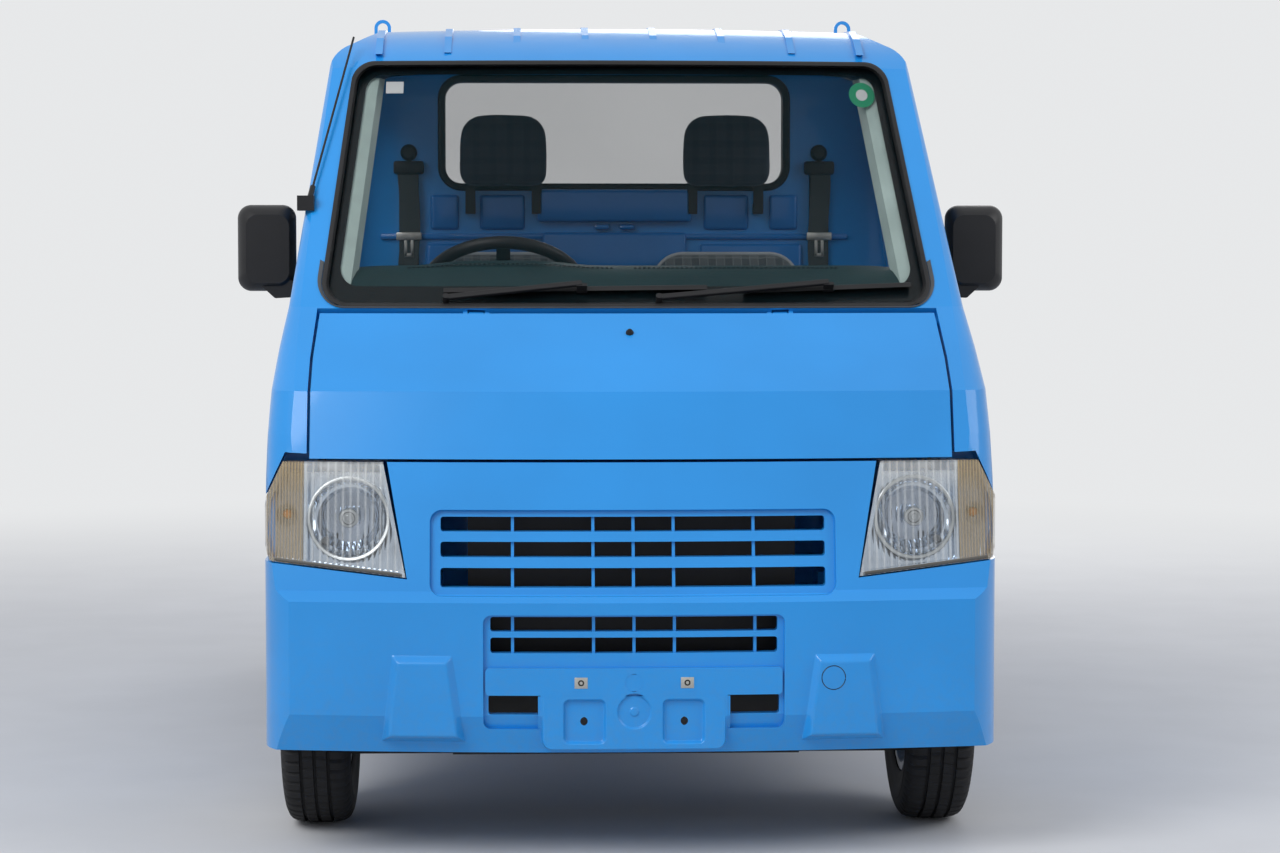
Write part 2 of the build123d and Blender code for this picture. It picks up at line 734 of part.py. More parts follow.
# Blank bulges at the lower corners, where other versions carry lamps
with BuildPart() as bulges:
    for outline in (BULGE, mirrored(BULGE)):
        with BuildSketch(Plane.XZ.offset(-at(70))):
            with BuildLine():
                FilletPolyline(*outline, radius=16, close=True)
            make_face()
        extrude(amount=80, taper=BULGE_TAPER)
    add(bumper_form(-BULGE_PROUD), mode=Mode.INTERSECT)
    add(BUMPER_RECESS, mode=Mode.SUBTRACT)
with BuildPart() as front_bumper_whole:
    add(front_bumper.part)
    add(grille_frames.part)
    add(grille_ribs.part)
    add(plate_bracket.part)
    add(bulges.part)
    add(block(-PLATE_NUT_X - 16, PLATE_NUT_X + 16, PLATE_FACE, GRILLE_DEPTH, 350, 384))
    for side in (-1, 1):
        add(block(side * RAIL_X - 22, side * RAIL_X + 22, 22, RAIL_FRONT - FIT, 340, 400))
        with Locations(Plane(origin=(side * PLATE_NUT_X, at(0), PLATE_NUT_Z), z_dir=(0, -1, 0))):
            Cylinder(PLATE_HOLE_R, 200, mode=Mode.SUBTRACT)
front_bumper_whole.part.label = "front_bumper"
export_step(front_bumper_whole.part, "parts/front_bumper.step")

with BuildPart() as radiator:
    add(block(-330, 330, 150, 190, RAIL_LOW + 80, 715))
radiator.part.label = "radiator"
export_step(radiator.part, "parts/radiator.step")

# Headlamps: a clear lens over a housing with a round reflector bowl
LAMP_BACK = 180
REFLECTOR_X, REFLECTOR_Z, REFLECTOR_R = 567, 685, 86
LAMP_BODY = bumper_form(22)
LENS_T = 4
LAMP_LENS_IN = bumper_form(LENS_T)
LAMP_RIM_OUT = bumper_form(LENS_T + FIT)
LAMP_WINDOWS = [
    [(462, 581), (652, 602), (652, 800), (506, 792)],
    [(662, 603), (718, 609), (730, 655), (722, 722), (688, 803), (662, 801)],
]
BULB_CAP_R = 20
BULB_R = 9
SIGNAL_BULB = (692, 690)
with BuildPart() as headlamp:
    add(LAMP_RIM_OUT)
    for window in LAMP_WINDOWS:
        add(front_prism(window, -20, LAMP_BACK + 20, 6), mode=Mode.SUBTRACT)
    add(LAMP_BODY)
    add(front_prism(LAMP, -20, LAMP_BACK), mode=Mode.INTERSECT)
    add(block(646, 690, LAMP_BACK - 10, NOSE_BACK - FIT, 640, 700))
    with BuildSketch(Plane.XZ.offset(-at(LAMP_BACK - 20))):
        with Locations((REFLECTOR_X, REFLECTOR_Z)):
            Circle(REFLECTOR_R - 34)
    with BuildSketch(Plane.XZ.offset(-at(60))):
        with Locations((REFLECTOR_X, REFLECTOR_Z)):
            Circle(REFLECTOR_R)
    loft(mode=Mode.SUBTRACT)
    with BuildSketch(Plane.XZ.offset(-at(LAMP_BACK - 15))):
        with Locations((REFLECTOR_X, REFLECTOR_Z)):
            Circle(BULB_R)
    extrude(amount=50)
    with Locations((REFLECTOR_X, at(LAMP_BACK - 45), REFLECTOR_Z)):
        Sphere(BULB_CAP_R)
    # Signal bulb socket beside the divider
    with BuildSketch(Plane.XZ.offset(-at(LAMP_BACK - 12))):
        with Locations(SIGNAL_BULB):
            Circle(22)
    extrude(amount=60, mode=Mode.SUBTRACT)
    with Locations((SIGNAL_BULB[0], at(LAMP_BACK - 14), SIGNAL_BULB[1])):
        Sphere(11)
with BuildPart() as lamp_lens:
    add(BUMPER_OUT)
    add(LAMP_LENS_IN, mode=Mode.SUBTRACT)
    add(front_prism(LAMP, -20, LAMP_BACK), mode=Mode.INTERSECT)
for name, half in (("headlamp", headlamp), ("lamp_lens", lamp_lens)):
    with BuildPart() as left_piece:
        add(half.part)
    left_piece.part.label = f"{name}_left"
    export_step(left_piece.part, f"parts/{name}_left.step")
    with BuildPart() as right_piece:
        add(mirror(half.part, about=Plane.YZ))
    right_piece.part.label = f"{name}_right"
    export_step(right_piece.part, f"parts/{name}_right.step")

# Interior
with BuildPart() as dashboard:
    add(side_prism(DASH_SIDE, -630, 630))
    add(DASH_FORM, mode=Mode.INTERSECT)
    with BuildSketch(COLUMN_PLANE.offset(-300)):
        Circle(COLUMN_R + FIT)
    extrude(amount=400, mode=Mode.SUBTRACT)
dashboard.part.label = "dashboard"
export_step(dashboard.part, "parts/dashboard.step")

with BuildPart() as seat_cushions:
    for side in (-1, 1):
        add(side_prism(CUSHION_SIDE, side * SEAT_X - SEAT_HALF, side * SEAT_X + SEAT_HALF))
seat_cushions.part.label = "seat_cushions"
export_step(seat_cushions.part, "parts/seat_cushions.step")

with BuildPart() as seat_backs:
    for side in (-1, 1):
        add(side_prism(BACK_SIDE, side * SEAT_X - SEAT_HALF + 15, side * SEAT_X + SEAT_HALF - 15))
seat_backs.part.label = "seat_backs"
export_step(seat_backs.part, "parts/seat_backs.step")

with BuildPart() as headrests:
    for side in (-1, 1):
        add(front_prism(rect(side * SEAT_X - 108, side * SEAT_X + 108, 1366, 1543), 1270, 1330, 30))
headrests.part.label = "headrests"
export_step(headrests.part, "parts/headrests.step")

with BuildPart() as headrest_brackets:
    for side in (-1, 1):
        for leg in (-79, 79):
            x = side * SEAT_X + leg
            add(block(x - 12, x + 12, 1330, 1340, 1306, 1500))
            add(block(x - 12, x + 12, 1330, CAB_BACK - WALL, 1306, 1330))
headrest_brackets.part.label = "headrest_brackets"
export_step(headrest_brackets.part, "parts/headrest_brackets.step")

# Steering wheel and column: one inclined axis through the dash
with BuildPart() as steering_column:
    with BuildSketch(COLUMN_PLANE.offset(-260)):
        Circle(COLUMN_R)
    extrude(amount=225)
steering_column.part.label = "steering_column"
export_step(steering_column.part, "parts/steering_column.step")

with BuildPart() as steering_wheel:
    with BuildSketch(Plane(origin=COLUMN_PLANE.origin, x_dir=COLUMN_PLANE.x_dir, z_dir=COLUMN_PLANE.y_dir)):
        with Locations((WHEEL_RING_R, 0)):
            Circle(14)
    revolve(axis=Axis(COLUMN_PLANE.origin, COLUMN_PLANE.z_dir))
    with BuildSketch(COLUMN_PLANE.offset(-35)):
        Circle(48)
    extrude(amount=50)
    for turn in (0, 130, 230):
        with BuildSketch(COLUMN_PLANE.offset(-12)):
            with Locations(Rotation(0, 0, turn - 90)):
                with Locations((WHEEL_RING_R / 2, 0)):
                    Rectangle(WHEEL_RING_R, 30)
        extrude(amount=18)
steering_wheel.part.label = "steering_wheel"
export_step(steering_wheel.part, "parts/steering_wheel.step")

with BuildPart() as cab_controls:
    with BuildSketch(Plane.XY.offset(FLOOR_TOP)):
        with Locations((-20, at(840))):
            Circle(9)
    extrude(amount=330)
    with Locations((-20, at(840), FLOOR_TOP + 340)):
        Sphere(24)
    add(block(-70, 30, 780, 876, FLOOR_TOP, FLOOR_TOP + 60))
    for x in (-180, -260, -330):
        add(block(x - 25, x + 25, 470, 480, FLOOR_TOP + 90, FLOOR_TOP + 160))
        add(block(x - 6, x + 6, FIREWALL_BACK, 470, FLOOR_TOP + 120, FLOOR_TOP + 140))
cab_controls.part.label = "cab_controls"
export_step(cab_controls.part, "parts/cab_controls.step")

# Guard frame behind the rear window: half width, top, bar thickness, heights of its cross bars
GUARD_HALF = 598
GUARD_TOP = 1698
GUARD_T = 32
GUARD_BARS = [(1060, 1084), (1290, 1314)]

# Bed: deck with crossmembers, headboard with guard frame, drop sides and tailgate
GATE_IN = GATE_OUT - GATE_T
BED_BACK = LENGTH - GATE_T
DECK_FRONT = BED_FRONT + HEADBOARD_T
DECK_UNDER = BED_FLOOR - BED_SHEET
DECK_BEADS = (-600, -450, -300, -150, 0, 150, 300, 450, 600)
KNUCKLE_HALF = 18
EAR_GAP = 2
EAR_T = 7


def gate_hinge_plane(side, station):
    """Plane across a side gate's hinge line at one of its knuckles."""
    return Plane(origin=(side * (GATE_OUT - GATE_HINGE_IN), at(station), GATE_HINGE_Z), z_dir=(0, 1, 0))


with BuildPart() as bed_deck:
    deck_half = GATE_IN - GAP
    add(block(-deck_half, deck_half, DECK_FRONT, BED_BACK - GAP, DECK_UNDER, BED_FLOOR))
    for side in (-1, 1):
        add(block(side * (RAIL_OUT - 40), side * RAIL_OUT, DECK_FRONT, BED_BACK - 12, 585, DECK_UNDER))
    for station in CROSSMEMBERS:
        add(block(-RAIL_OUT + 5, RAIL_OUT - 5, station - 25, station + 25, REAR_RAIL_TOP, DECK_UNDER))
    add(block(-RAIL_OUT, RAIL_OUT, BED_BACK - 45, BED_BACK - 12, 585, DECK_UNDER))
    # Hinge brackets: two ears and a pin at each knuckle of the three gates
    for side in (-1, 1):
        for station in GATE_HINGES:
            hinge = gate_hinge_plane(side, station)
            for low in (station - KNUCKLE_HALF - EAR_GAP - EAR_T, station + KNUCKLE_HALF + EAR_GAP):
                x0, x1 = sorted((side * (RAIL_OUT - 20), side * (GATE_OUT - GATE_HINGE_IN)))
                add(block(x0, x1, low, low + EAR_T, GATE_HINGE_Z - 9, GATE_HINGE_Z + 4))
                add(hinge_bar(hinge.offset(low + EAR_T / 2 - station), 6, EAR_T / 2))
            add(hinge_bar(hinge, HINGE_PIN_R, KNUCKLE_HALF + EAR_GAP + EAR_T / 2))
    for x in TAIL_HINGES:
        hinge = Plane(origin=(x, at(LENGTH - GATE_HINGE_IN), GATE_HINGE_Z), z_dir=(1, 0, 0))
        for low in (x - KNUCKLE_HALF - EAR_GAP - EAR_T, x + KNUCKLE_HALF + EAR_GAP):
            rear = LENGTH - GATE_HINGE_IN
            add(block(low, low + EAR_T, BED_BACK - 30, rear, GATE_HINGE_Z - 9, GATE_HINGE_Z + 4))
            add(hinge_bar(hinge.offset(low + EAR_T / 2 - x), 6, EAR_T / 2))
        add(hinge_bar(hinge, HINGE_PIN_R, KNUCKLE_HALF + EAR_GAP + EAR_T / 2))
    for x in DECK_BEADS:
        bead = block(x - 22, x + 22, BED_FRONT + 90, BED_BACK - 90, BED_FLOOR - 5, BED_FLOOR + 5)
        add(bead, mode=Mode.SUBTRACT)
bed_deck.part.label = "bed_deck"
export_step(bed_deck.part, "parts/bed_deck.step")

with BuildPart() as cab_guard:
    add(block(-GATE_OUT + 6, GATE_OUT - 6, BED_FRONT, BED_FRONT + HEADBOARD_T, 585, GATE_TOP))
    with BuildSketch(Plane.XZ.offset(-at(BED_FRONT + GUARD_T))):
        with BuildLine():
            FilletPolyline(
                (-GUARD_HALF, GATE_TOP - 60),
                (-GUARD_HALF, GUARD_TOP),
                (GUARD_HALF, GUARD_TOP),
                (GUARD_HALF, GATE_TOP - 60),
                radius=70,
            )
            Line((GUARD_HALF, GATE_TOP - 60), (-GUARD_HALF, GATE_TOP - 60))
        make_face()
        with BuildLine():
            FilletPolyline(
                (-GUARD_HALF + GUARD_T, GATE_TOP - 60),
                (-GUARD_HALF + GUARD_T, GUARD_TOP - GUARD_T),
                (GUARD_HALF - GUARD_T, GUARD_TOP - GUARD_T),
                (GUARD_HALF - GUARD_T, GATE_TOP - 60),
                radius=70 - GUARD_T,
            )
            Line((GUARD_HALF - GUARD_T, GATE_TOP - 60), (-GUARD_HALF + GUARD_T, GATE_TOP - 60))
        make_face(mode=Mode.SUBTRACT)
    extrude(amount=GUARD_T)
    for low, high in GUARD_BARS:
        inner = GUARD_HALF - GUARD_T
        add(block(-inner, inner, BED_FRONT + 4, BED_FRONT + 28, low, high))
    # Rope hooks: rounded loops welded through the top bar's corners
    for x in (-556, 556):
        with BuildSketch(Plane.XZ.offset(-at(BED_FRONT + 20))):
            with Locations((x, GUARD_TOP + 26)):
                SlotCenterToCenter(60, 40, rotation=90)
                SlotCenterToCenter(60, 24, rotation=90, mode=Mode.SUBTRACT)
        extrude(amount=8)
    # Stake pockets and upright stiffeners pressed into the headboard
    for x in (-480, -240, 0, 240, 480):
        add(block(x - 20, x + 20, BED_FRONT + HEADBOARD_T, BED_FRONT + HEADBOARD_T + 7, 700, GATE_TOP - 40))
cab_guard.part.label = "cab_guard"
export_step(cab_guard.part, "parts/cab_guard.step")

for side, name in ((1, "left"), (-1, "right")):
    with BuildPart() as side_gate:
        add(block(side * GATE_IN, side * GATE_OUT, DECK_FRONT + GAP, BED_BACK - GAP, GATE_BOTTOM, GATE_TOP))
        for low, high in GATE_PANELS:
            panel = block(side * (GATE_OUT - 8), side * (GATE_OUT + 5), low, high, 700, GATE_TOP - 50)
            add(panel, mode=Mode.SUBTRACT)
        for station in GATE_HINGES:
            hinge = gate_hinge_plane(side, station)
            x0, x1 = sorted((side * (GATE_OUT - 10), side * GATE_OUT))
            add(block(x0, x1, station - KNUCKLE_HALF, station + KNUCKLE_HALF, GATE_HINGE_Z, GATE_BOTTOM + 20))
            add(hinge_bar(hinge, 6, KNUCKLE_HALF))
            add(hinge_bar(hinge, HINGE_PIN_R + FIT, KNUCKLE_HALF), mode=Mode.SUBTRACT)
    side_gate.part.label = f"side_gate_{name}"
    export_step(side_gate.part, f"parts/side_gate_{name}.step")

with BuildPart() as tailgate:
    add(block(-GATE_OUT, GATE_OUT, BED_BACK, LENGTH, GATE_BOTTOM, GATE_TOP))
    add(block(-600, 600, LENGTH - 8, LENGTH + 5, 700, GATE_TOP - 50), mode=Mode.SUBTRACT)
    for x in TAIL_HINGES:
        hinge = Plane(origin=(x, at(LENGTH - GATE_HINGE_IN), GATE_HINGE_Z), z_dir=(1, 0, 0))
        add(block(x - KNUCKLE_HALF, x + KNUCKLE_HALF, LENGTH - 10, LENGTH, GATE_HINGE_Z, GATE_BOTTOM + 20))
        add(hinge_bar(hinge, 6, KNUCKLE_HALF))
        add(hinge_bar(hinge, HINGE_PIN_R + FIT, KNUCKLE_HALF), mode=Mode.SUBTRACT)
tailgate.part.label = "tailgate"
export_step(tailgate.part, "parts/tailgate.step")

# Ladder frame, with the hangers that hold the ends of the rear springs
SPRING_X = 450
SPRING_W = 60
SPRING_FRONT = 480
SPRING_REAR = 390
with BuildPart() as chassis_frame:
    for side in (-1, 1):
        add(side_prism(RAIL_SIDE, side * RAIL_X - RAIL_W / 2, side * RAIL_X + RAIL_W / 2))
    for station, low, high in CROSS_TUBES:
        add(block(-RAIL_X, RAIL_X, station - 30, station + 30, low, high))
    for side in (-1, 1):
        x0, x1 = sorted((side * (RAIL_X + RAIL_W / 2), side * (SPRING_X + SPRING_W / 2)))
        add(block(x0, x1, REAR_AXLE - SPRING_FRONT - 15, REAR_AXLE - SPRING_FRONT + 30, 492 + FIT, 530))
        add(block(x0, x1, REAR_AXLE + SPRING_REAR - 25, REAR_AXLE + SPRING_REAR + 5, 440 + FIT, 500))
chassis_frame.part.label = "chassis_frame"
export_step(chassis_frame.part, "parts/chassis_frame.step")

# Engine and gearbox as one plain block, fuel tank, silencer
with BuildPart() as engine_block:
    add(block(-260, 260, 2030, 2560, 300, 540))
    mount_reach = RAIL_X - RAIL_W / 2 - FIT
    for station in (2130, 2480):
        add(block(-mount_reach, mount_reach, station - 30, station + 30, 490, 520))
engine_block.part.label = "engine_block"
export_step(engine_block.part, "parts/engine_block.step")

with BuildPart() as fuel_tank:
    add(block(RAIL_X + RAIL_W / 2, 640, 1640, 2150, 320, 550))
fuel_tank.part.label = "fuel_tank"
export_step(fuel_tank.part, "parts/fuel_tank.step")

with BuildPart() as exhaust:
    add(cylinder_x(3180, 440, 80, -290, 260))
    with BuildSketch(Plane.XZ.offset(-at(3200))):
        with Locations((-250, 440)):
            Circle(20)
    extrude(amount=-150)
    add(block(-215, -185, 3210, LENGTH - 95 - 30 - FIT, 498, 513))
exhaust.part.label = "exhaust"
export_step(exhaust.part, "parts/exhaust.step")

# Wheels: tyre, pressed steel wheel, knuckle or hub
BEAD_X = RIM_W / 2 - 4 - FIT
for place, station, track, side in (
    ("front_left", FRONT_AXLE, FRONT_TRACK, 1),
    ("front_right", FRONT_AXLE, FRONT_TRACK, -1),
    ("rear_left", REAR_AXLE, REAR_TRACK, 1),
    ("rear_right", REAR_AXLE, REAR_TRACK, -1),
):
    centre = side * track / 2
    spin = Axis((centre, at(station), TYRE_R), (1, 0, 0))
    section_plane = Plane(origin=(centre, at(station), TYRE_R), x_dir=(side, 0, 0), z_dir=(0, -side, 0))
    with BuildPart() as tyre:
        with BuildSketch(section_plane):
            with BuildLine():
                outline = Polyline(
                    (-BEAD_X, RIM_R + 1 + FIT),
                    (-BEAD_X, RIM_LIP_R + 2),
                    (-TYRE_W / 2 + 6, RIM_R + 32),
                    (-TYRE_W / 2, RIM_R + 62),
                    (-TYRE_W / 2 + 6, TYRE_R - 22),
                    (-TYRE_W / 2 + 20, TYRE_R - 5),
                    (-30, TYRE_R),
                    (30, TYRE_R),
                    (TYRE_W / 2 - 20, TYRE_R - 5),
                    (TYRE_W / 2 - 6, TYRE_R - 22),
                    (TYRE_W / 2, RIM_R + 62),
                    (TYRE_W / 2 - 6, RIM_R + 32),
                    (BEAD_X, RIM_LIP_R + 2),
                    (BEAD_X, RIM_R + 1 + FIT),
                    close=True,
                )
            make_face()
        revolve(axis=spin)
    tyre.part.label = f"tyre_{place}"
    export_step(tyre.part, f"parts/tyre_{place}.step")

    with BuildPart() as rim:
        with BuildSketch(section_plane):
            with BuildLine():
                Polyline(
                    (-RIM_W / 2 - 2, RIM_LIP_R),
                    (-RIM_W / 2 - 2, RIM_R - 6),
                    (-30, RIM_R - 24),
                    (0, RIM_R - 24),
                    (12, RIM_R - 50),
                    (22, RIM_R - 84),
                    (14, 62),
                    (14, HUB_R + FIT),
                    (22, HUB_R + FIT),
                    (22, 60),
                    (31, RIM_R - 84),
                    (22, RIM_R - 48),
                    (14, RIM_R - 18),
                    (RIM_W / 2 + 2, RIM_R - 6),
                    (RIM_W / 2 + 2, RIM_LIP_R),
                    (RIM_W / 2 - 4, RIM_LIP_R),
                    (RIM_W / 2 - 4, RIM_R + 1),
                    (-RIM_W / 2 + 4, RIM_R + 1),
                    (-RIM_W / 2 + 4, RIM_LIP_R),
                    close=True,
                )
            make_face()
        revolve(axis=spin)
        with BuildSketch(Plane(origin=(centre - 60, at(station), TYRE_R), z_dir=(1, 0, 0))):
            with PolarLocations(108, 8):
                Circle(13)
        extrude(amount=120, mode=Mode.SUBTRACT)
    rim.part.label = f"rim_{place}"
    export_step(rim.part, f"parts/rim_{place}.step")

# Steering axis: from the lower ball joint up to the strut mount, leaning in
KINGPIN_Z = 160
KINGPIN_X = FRONT_TRACK / 2 - 60
KINGPIN_LEAN = 9.8
STRUT_TOP = 596.5
ARM_BACK = 110
ARM_IN = 60
ARM_RISE = 26
RACK_Z = 184
for side, name in ((1, "left"), (-1, "right")):
    centre = side * FRONT_TRACK / 2
    pin = Plane(
        origin=(side * KINGPIN_X, at(FRONT_AXLE), KINGPIN_Z),
        z_dir=(-side * sin(radians(KINGPIN_LEAN)), 0, cos(radians(KINGPIN_LEAN))),
    )
    foot = side * (KINGPIN_X - 18)
    with BuildPart() as knuckle:
        x0, x1 = sorted((foot, centre + side * 24))
        add(cylinder_x(FRONT_AXLE, TYRE_R, HUB_R, x0, x1))
        x0, x1 = sorted((centre - side * 40, centre - side * 28))
        add(cylinder_x(FRONT_AXLE, TYRE_R, 95, x0, x1))
        with BuildSketch(pin.offset(18.4)):
            Circle(22)
        extrude(amount=350 - 18.4)
        x0, x1 = sorted((side * (KINGPIN_X - 22), side * (KINGPIN_X + 4)))
        add(block(x0, x1, FRONT_AXLE, FRONT_AXLE + ARM_BACK, RACK_Z + ARM_RISE, RACK_Z + ARM_RISE + 16))
        x0, x1 = sorted((side * (KINGPIN_X - ARM_IN - 18), side * (KINGPIN_X + 4)))
        front = FRONT_AXLE + ARM_BACK - 20
        add(block(x0, x1, front, FRONT_AXLE + ARM_BACK + 16, RACK_Z + ARM_RISE, RACK_Z + ARM_RISE + 16))
    knuckle.part.label = f"knuckle_{name}"
    export_step(knuckle.part, f"parts/knuckle_{name}.step")

with BuildPart() as front_suspension:
    for side in (-1, 1):
        x0, x1 = sorted((side * 290, side * (KINGPIN_X + 12)))
        add(block(x0, x1, FRONT_AXLE - 22, FRONT_AXLE + 22, KINGPIN_Z - 14, KINGPIN_Z + 14))
        pin = Plane(
            origin=(side * KINGPIN_X, at(FRONT_AXLE), KINGPIN_Z),
            z_dir=(-side * sin(radians(KINGPIN_LEAN)), 0, cos(radians(KINGPIN_LEAN))),
        )
        with BuildSketch(pin.offset(350 + FIT)):
            Circle(12)
        extrude(amount=STRUT_TOP - 350 - FIT)
        with BuildSketch(pin.offset(420)):
            Circle(48)
        extrude(amount=150)
    add(block(-370, 370, 490, 570, KINGPIN_Z - 14, RAIL_LOW))
    add(cylinder_x(FRONT_AXLE + ARM_BACK, RACK_Z, 24, -240, 240))
    add(block(-240, 240, 570, FRONT_AXLE + ARM_BACK, RACK_Z - 12, RACK_Z + 12))
    add(cylinder_x(FRONT_AXLE + ARM_BACK, RACK_Z, 9 + FIT, -250, 250), mode=Mode.SUBTRACT)
front_suspension.part.label = "front_suspension"
export_step(front_suspension.part, "parts/front_suspension.step")

with BuildPart() as steering_rack:
    reach = KINGPIN_X - ARM_IN
    add(cylinder_x(FRONT_AXLE + ARM_BACK, RACK_Z, 9, -reach, reach))
    with BuildSketch(Plane.XY.offset(RACK_Z - 9)):
        with Locations((-reach, at(FRONT_AXLE + ARM_BACK)), (reach, at(FRONT_AXLE + ARM_BACK))):
            Circle(15)
    extrude(amount=19)
steering_rack.part.label = "steering_rack"
export_step(steering_rack.part, "parts/steering_rack.step")

SPRING_LOW = 300
with BuildPart() as rear_axle:
    add(cylinder_x(REAR_AXLE, TYRE_R, 26, -REAR_TRACK / 2 + 40, REAR_TRACK / 2 - 40))
    for side in (-1, 1):
        x0 = side * (REAR_TRACK / 2 - 64)
        x1 = side * (REAR_TRACK / 2 - 36)
        add(cylinder_x(REAR_AXLE, TYRE_R, 110, min(x0, x1), max(x0, x1)))
        x2 = side * (REAR_TRACK / 2 + 24)
        add(cylinder_x(REAR_AXLE, TYRE_R, HUB_R, min(x0, x2), max(x0, x2)))
        pad = SPRING_W / 2
        x = side * SPRING_X
        add(block(x - pad, x + pad, REAR_AXLE - 45, REAR_AXLE + 45, 280, SPRING_LOW - FIT))
rear_axle.part.label = "rear_axle"
export_step(rear_axle.part, "parts/rear_axle.step")

with BuildPart() as leaf_springs:
    for side in (-1, 1):
        front = at(REAR_AXLE - SPRING_FRONT)
        rear = at(REAR_AXLE + SPRING_REAR)
        with BuildSketch(Plane.YZ.offset(side * SPRING_X - SPRING_W / 2)):
            with BuildLine():
                ThreePointArc((front, 470), (at(REAR_AXLE), SPRING_LOW), (rear, 420))
                Line((rear, 420), (rear, 440))
                ThreePointArc((rear, 440), (at(REAR_AXLE), SPRING_LOW + 22), (front, 492))
                Line((front, 492), (front, 470))
            make_face()
        extrude(amount=SPRING_W)
leaf_springs.part.label = "leaf_springs"
export_step(leaf_springs.part, "parts/leaf_springs.step")

# Wipers: blades that follow the glass, carried by arms on pivots at its foot
SCREEN_FOOT = (335, 1102)
SCREEN_HEAD = (850, 1636)
SCREEN_ANGLE = atan2(SCREEN_HEAD[1] - SCREEN_FOOT[1], SCREEN_HEAD[0] - SCREEN_FOOT[0])
BLADE_W = 9
WIPER_SEAT = 0.65
WIPERS = [
    # pivot x and height, blade start x and height, blade end x and height, arm end x and height
    ((-378, 1119), (-384, 1132), (165, 1138), (-96, 1140)),
    ((64, 1119), (243, 1130), (597, 1143), (420, 1142)),
]


def on_screen(x, height, lift):
    """Point above the windscreen's outer surface line, lifted along its normal."""
    bow = CAB_BOW * (2 * x / WIDTH) ** 2
    station = SCREEN_FOOT[0] + (height - SCREEN_FOOT[1]) / tan(SCREEN_ANGLE) + bow
    return (x, at(station) - lift * sin(SCREEN_ANGLE), height + lift * cos(SCREEN_ANGLE))


def bar_between(start, end, width, thickness):
    """Straight flat bar from one point to another."""
    along = Vector(*end) - Vector(*start)
    with BuildPart() as made:
        with BuildSketch(Plane(origin=start, z_dir=along, x_dir=(0, -sin(SCREEN_ANGLE), cos(SCREEN_ANGLE)))):
            RectangleRounded(thickness, width, 2)
        extrude(amount=along.length)
    return made.part


with BuildPart() as blade_layer:
    add(cab_form(2))
    add(cab_form(GLASS_IN - FIT), mode=Mode.SUBTRACT)
with BuildPart() as wipers:
    for pivot, blade_start, blade_end, arm_end in WIPERS:
        x0, z0 = blade_start
        x1, z1 = blade_end
        strip = [(x0, z0), (x1, z1), (x1, z1 + BLADE_W), (x0, z0 + BLADE_W)]
        with BuildPart(mode=Mode.PRIVATE) as blade:
            add(front_prism(strip, FIREWALL, 600))
            add(blade_layer.part, mode=Mode.INTERSECT)
        add(blade.part)
        add(bar_between(on_screen(*pivot, 4), on_screen(arm_end[0], arm_end[1] + 4, 10), 13, 8))
        add(bar_between(on_screen(*arm_end, -10), on_screen(*arm_end, 12), 22, 8))
        foot = Plane(
            origin=on_screen(*pivot, WIPER_SEAT - GLASS_IN),
            x_dir=(1, 0, 0),
            z_dir=(0, -sin(SCREEN_ANGLE), cos(SCREEN_ANGLE)),
        )
        with BuildSketch(foot):
            Circle(7)
        extrude(amount=GLASS_IN + 9)
wipers.part.label = "wipers"
export_step(wipers.part, "parts/wipers.step")

# Antenna on the right pillar: a bracket against the rounded corner and a thin rod
ANTENNA_FOOT = (-676, at(588), 1322)
ANTENNA_TIP = (-597, at(930), 1696)
with BuildPart() as antenna:
    add(block(-700, -664, 576, 640, 1304, 1336))
    add(cab_shell.part, mode=Mode.SUBTRACT)
    rod = Vector(*ANTENNA_TIP) - Vector(*ANTENNA_FOOT)
    with BuildSketch(Plane(origin=ANTENNA_FOOT, z_dir=rod)):
        Circle(2.5)
    extrude(amount=rod.length)
    with BuildSketch(Plane(origin=ANTENNA_FOOT, z_dir=rod)):
        Circle(6)
    extrude(amount=46)
antenna.part.label = "antenna"
export_step(antenna.part, "parts/antenna.step")

# Rear lamps, plate holder and mud guards hang from the bed's rear and side rails
LAMP_FACE = 3374
with BuildPart() as tail_lamps:
    for side in (-1, 1):
        with BuildSketch(Plane.XZ.offset(-at(LAMP_FACE))):
            with Locations((side * 600, 505)):
                RectangleRounded(190, 100, 12)
        extrude(amount=44)
        add(block(side * 600 - 40, side * 600 + 40, 3336, 3350, 550, 585))
tail_lamps.part.label = "tail_lamps"
export_step(tail_lamps.part, "parts/tail_lamps.step")

REAR_PLATE_Z = 540
with BuildPart() as rear_plate_holder:
    rail_face = BED_BACK - 12
    with BuildSketch(Plane.XZ.offset(-at(rail_face + 3))):
        with Locations((0, 560)):
            RectangleRounded(290, 160, 14)
        with Locations((-PLATE_NUT_X, REAR_PLATE_Z), (PLATE_NUT_X, REAR_PLATE_Z)):
            Circle(PLATE_HOLE_R, mode=Mode.SUBTRACT)
        with Locations((0, 520)):
            SlotCenterToCenter(90, 40, mode=Mode.SUBTRACT)
    extrude(amount=3)
rear_plate_holder.part.label = "rear_plate_holder"
export_step(rear_plate_holder.part, "parts/rear_plate_holder.step")

# Mud guards: station, inner and outer x, bottom and top heights
MUD_GUARDS = [(REAR_AXLE + 314, 570, 714, 205, 585), (FRONT_AXLE + 318, 590, 712, 195, CAB_BOTTOM)]
with BuildPart() as mud_guards:
    for station, inner, outer, low, high in MUD_GUARDS:
        for side in (-1, 1):
            with BuildSketch(Plane.XZ.offset(-at(station + 4))):
                with BuildLine():
                    Polyline(
                        (side * inner, high),
                        (side * outer, high),
                        (side * outer, low + 30),
                        (side * (outer - 24), low),
                        (side * (inner + 24), low),
                        (side * inner, low + 30),
                        close=True,
                    )
                make_face()
            extrude(amount=4)
mud_guards.part.label = "mud_guards"
export_step(mud_guards.part, "parts/mud_guards.step")
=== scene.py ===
import json
import math

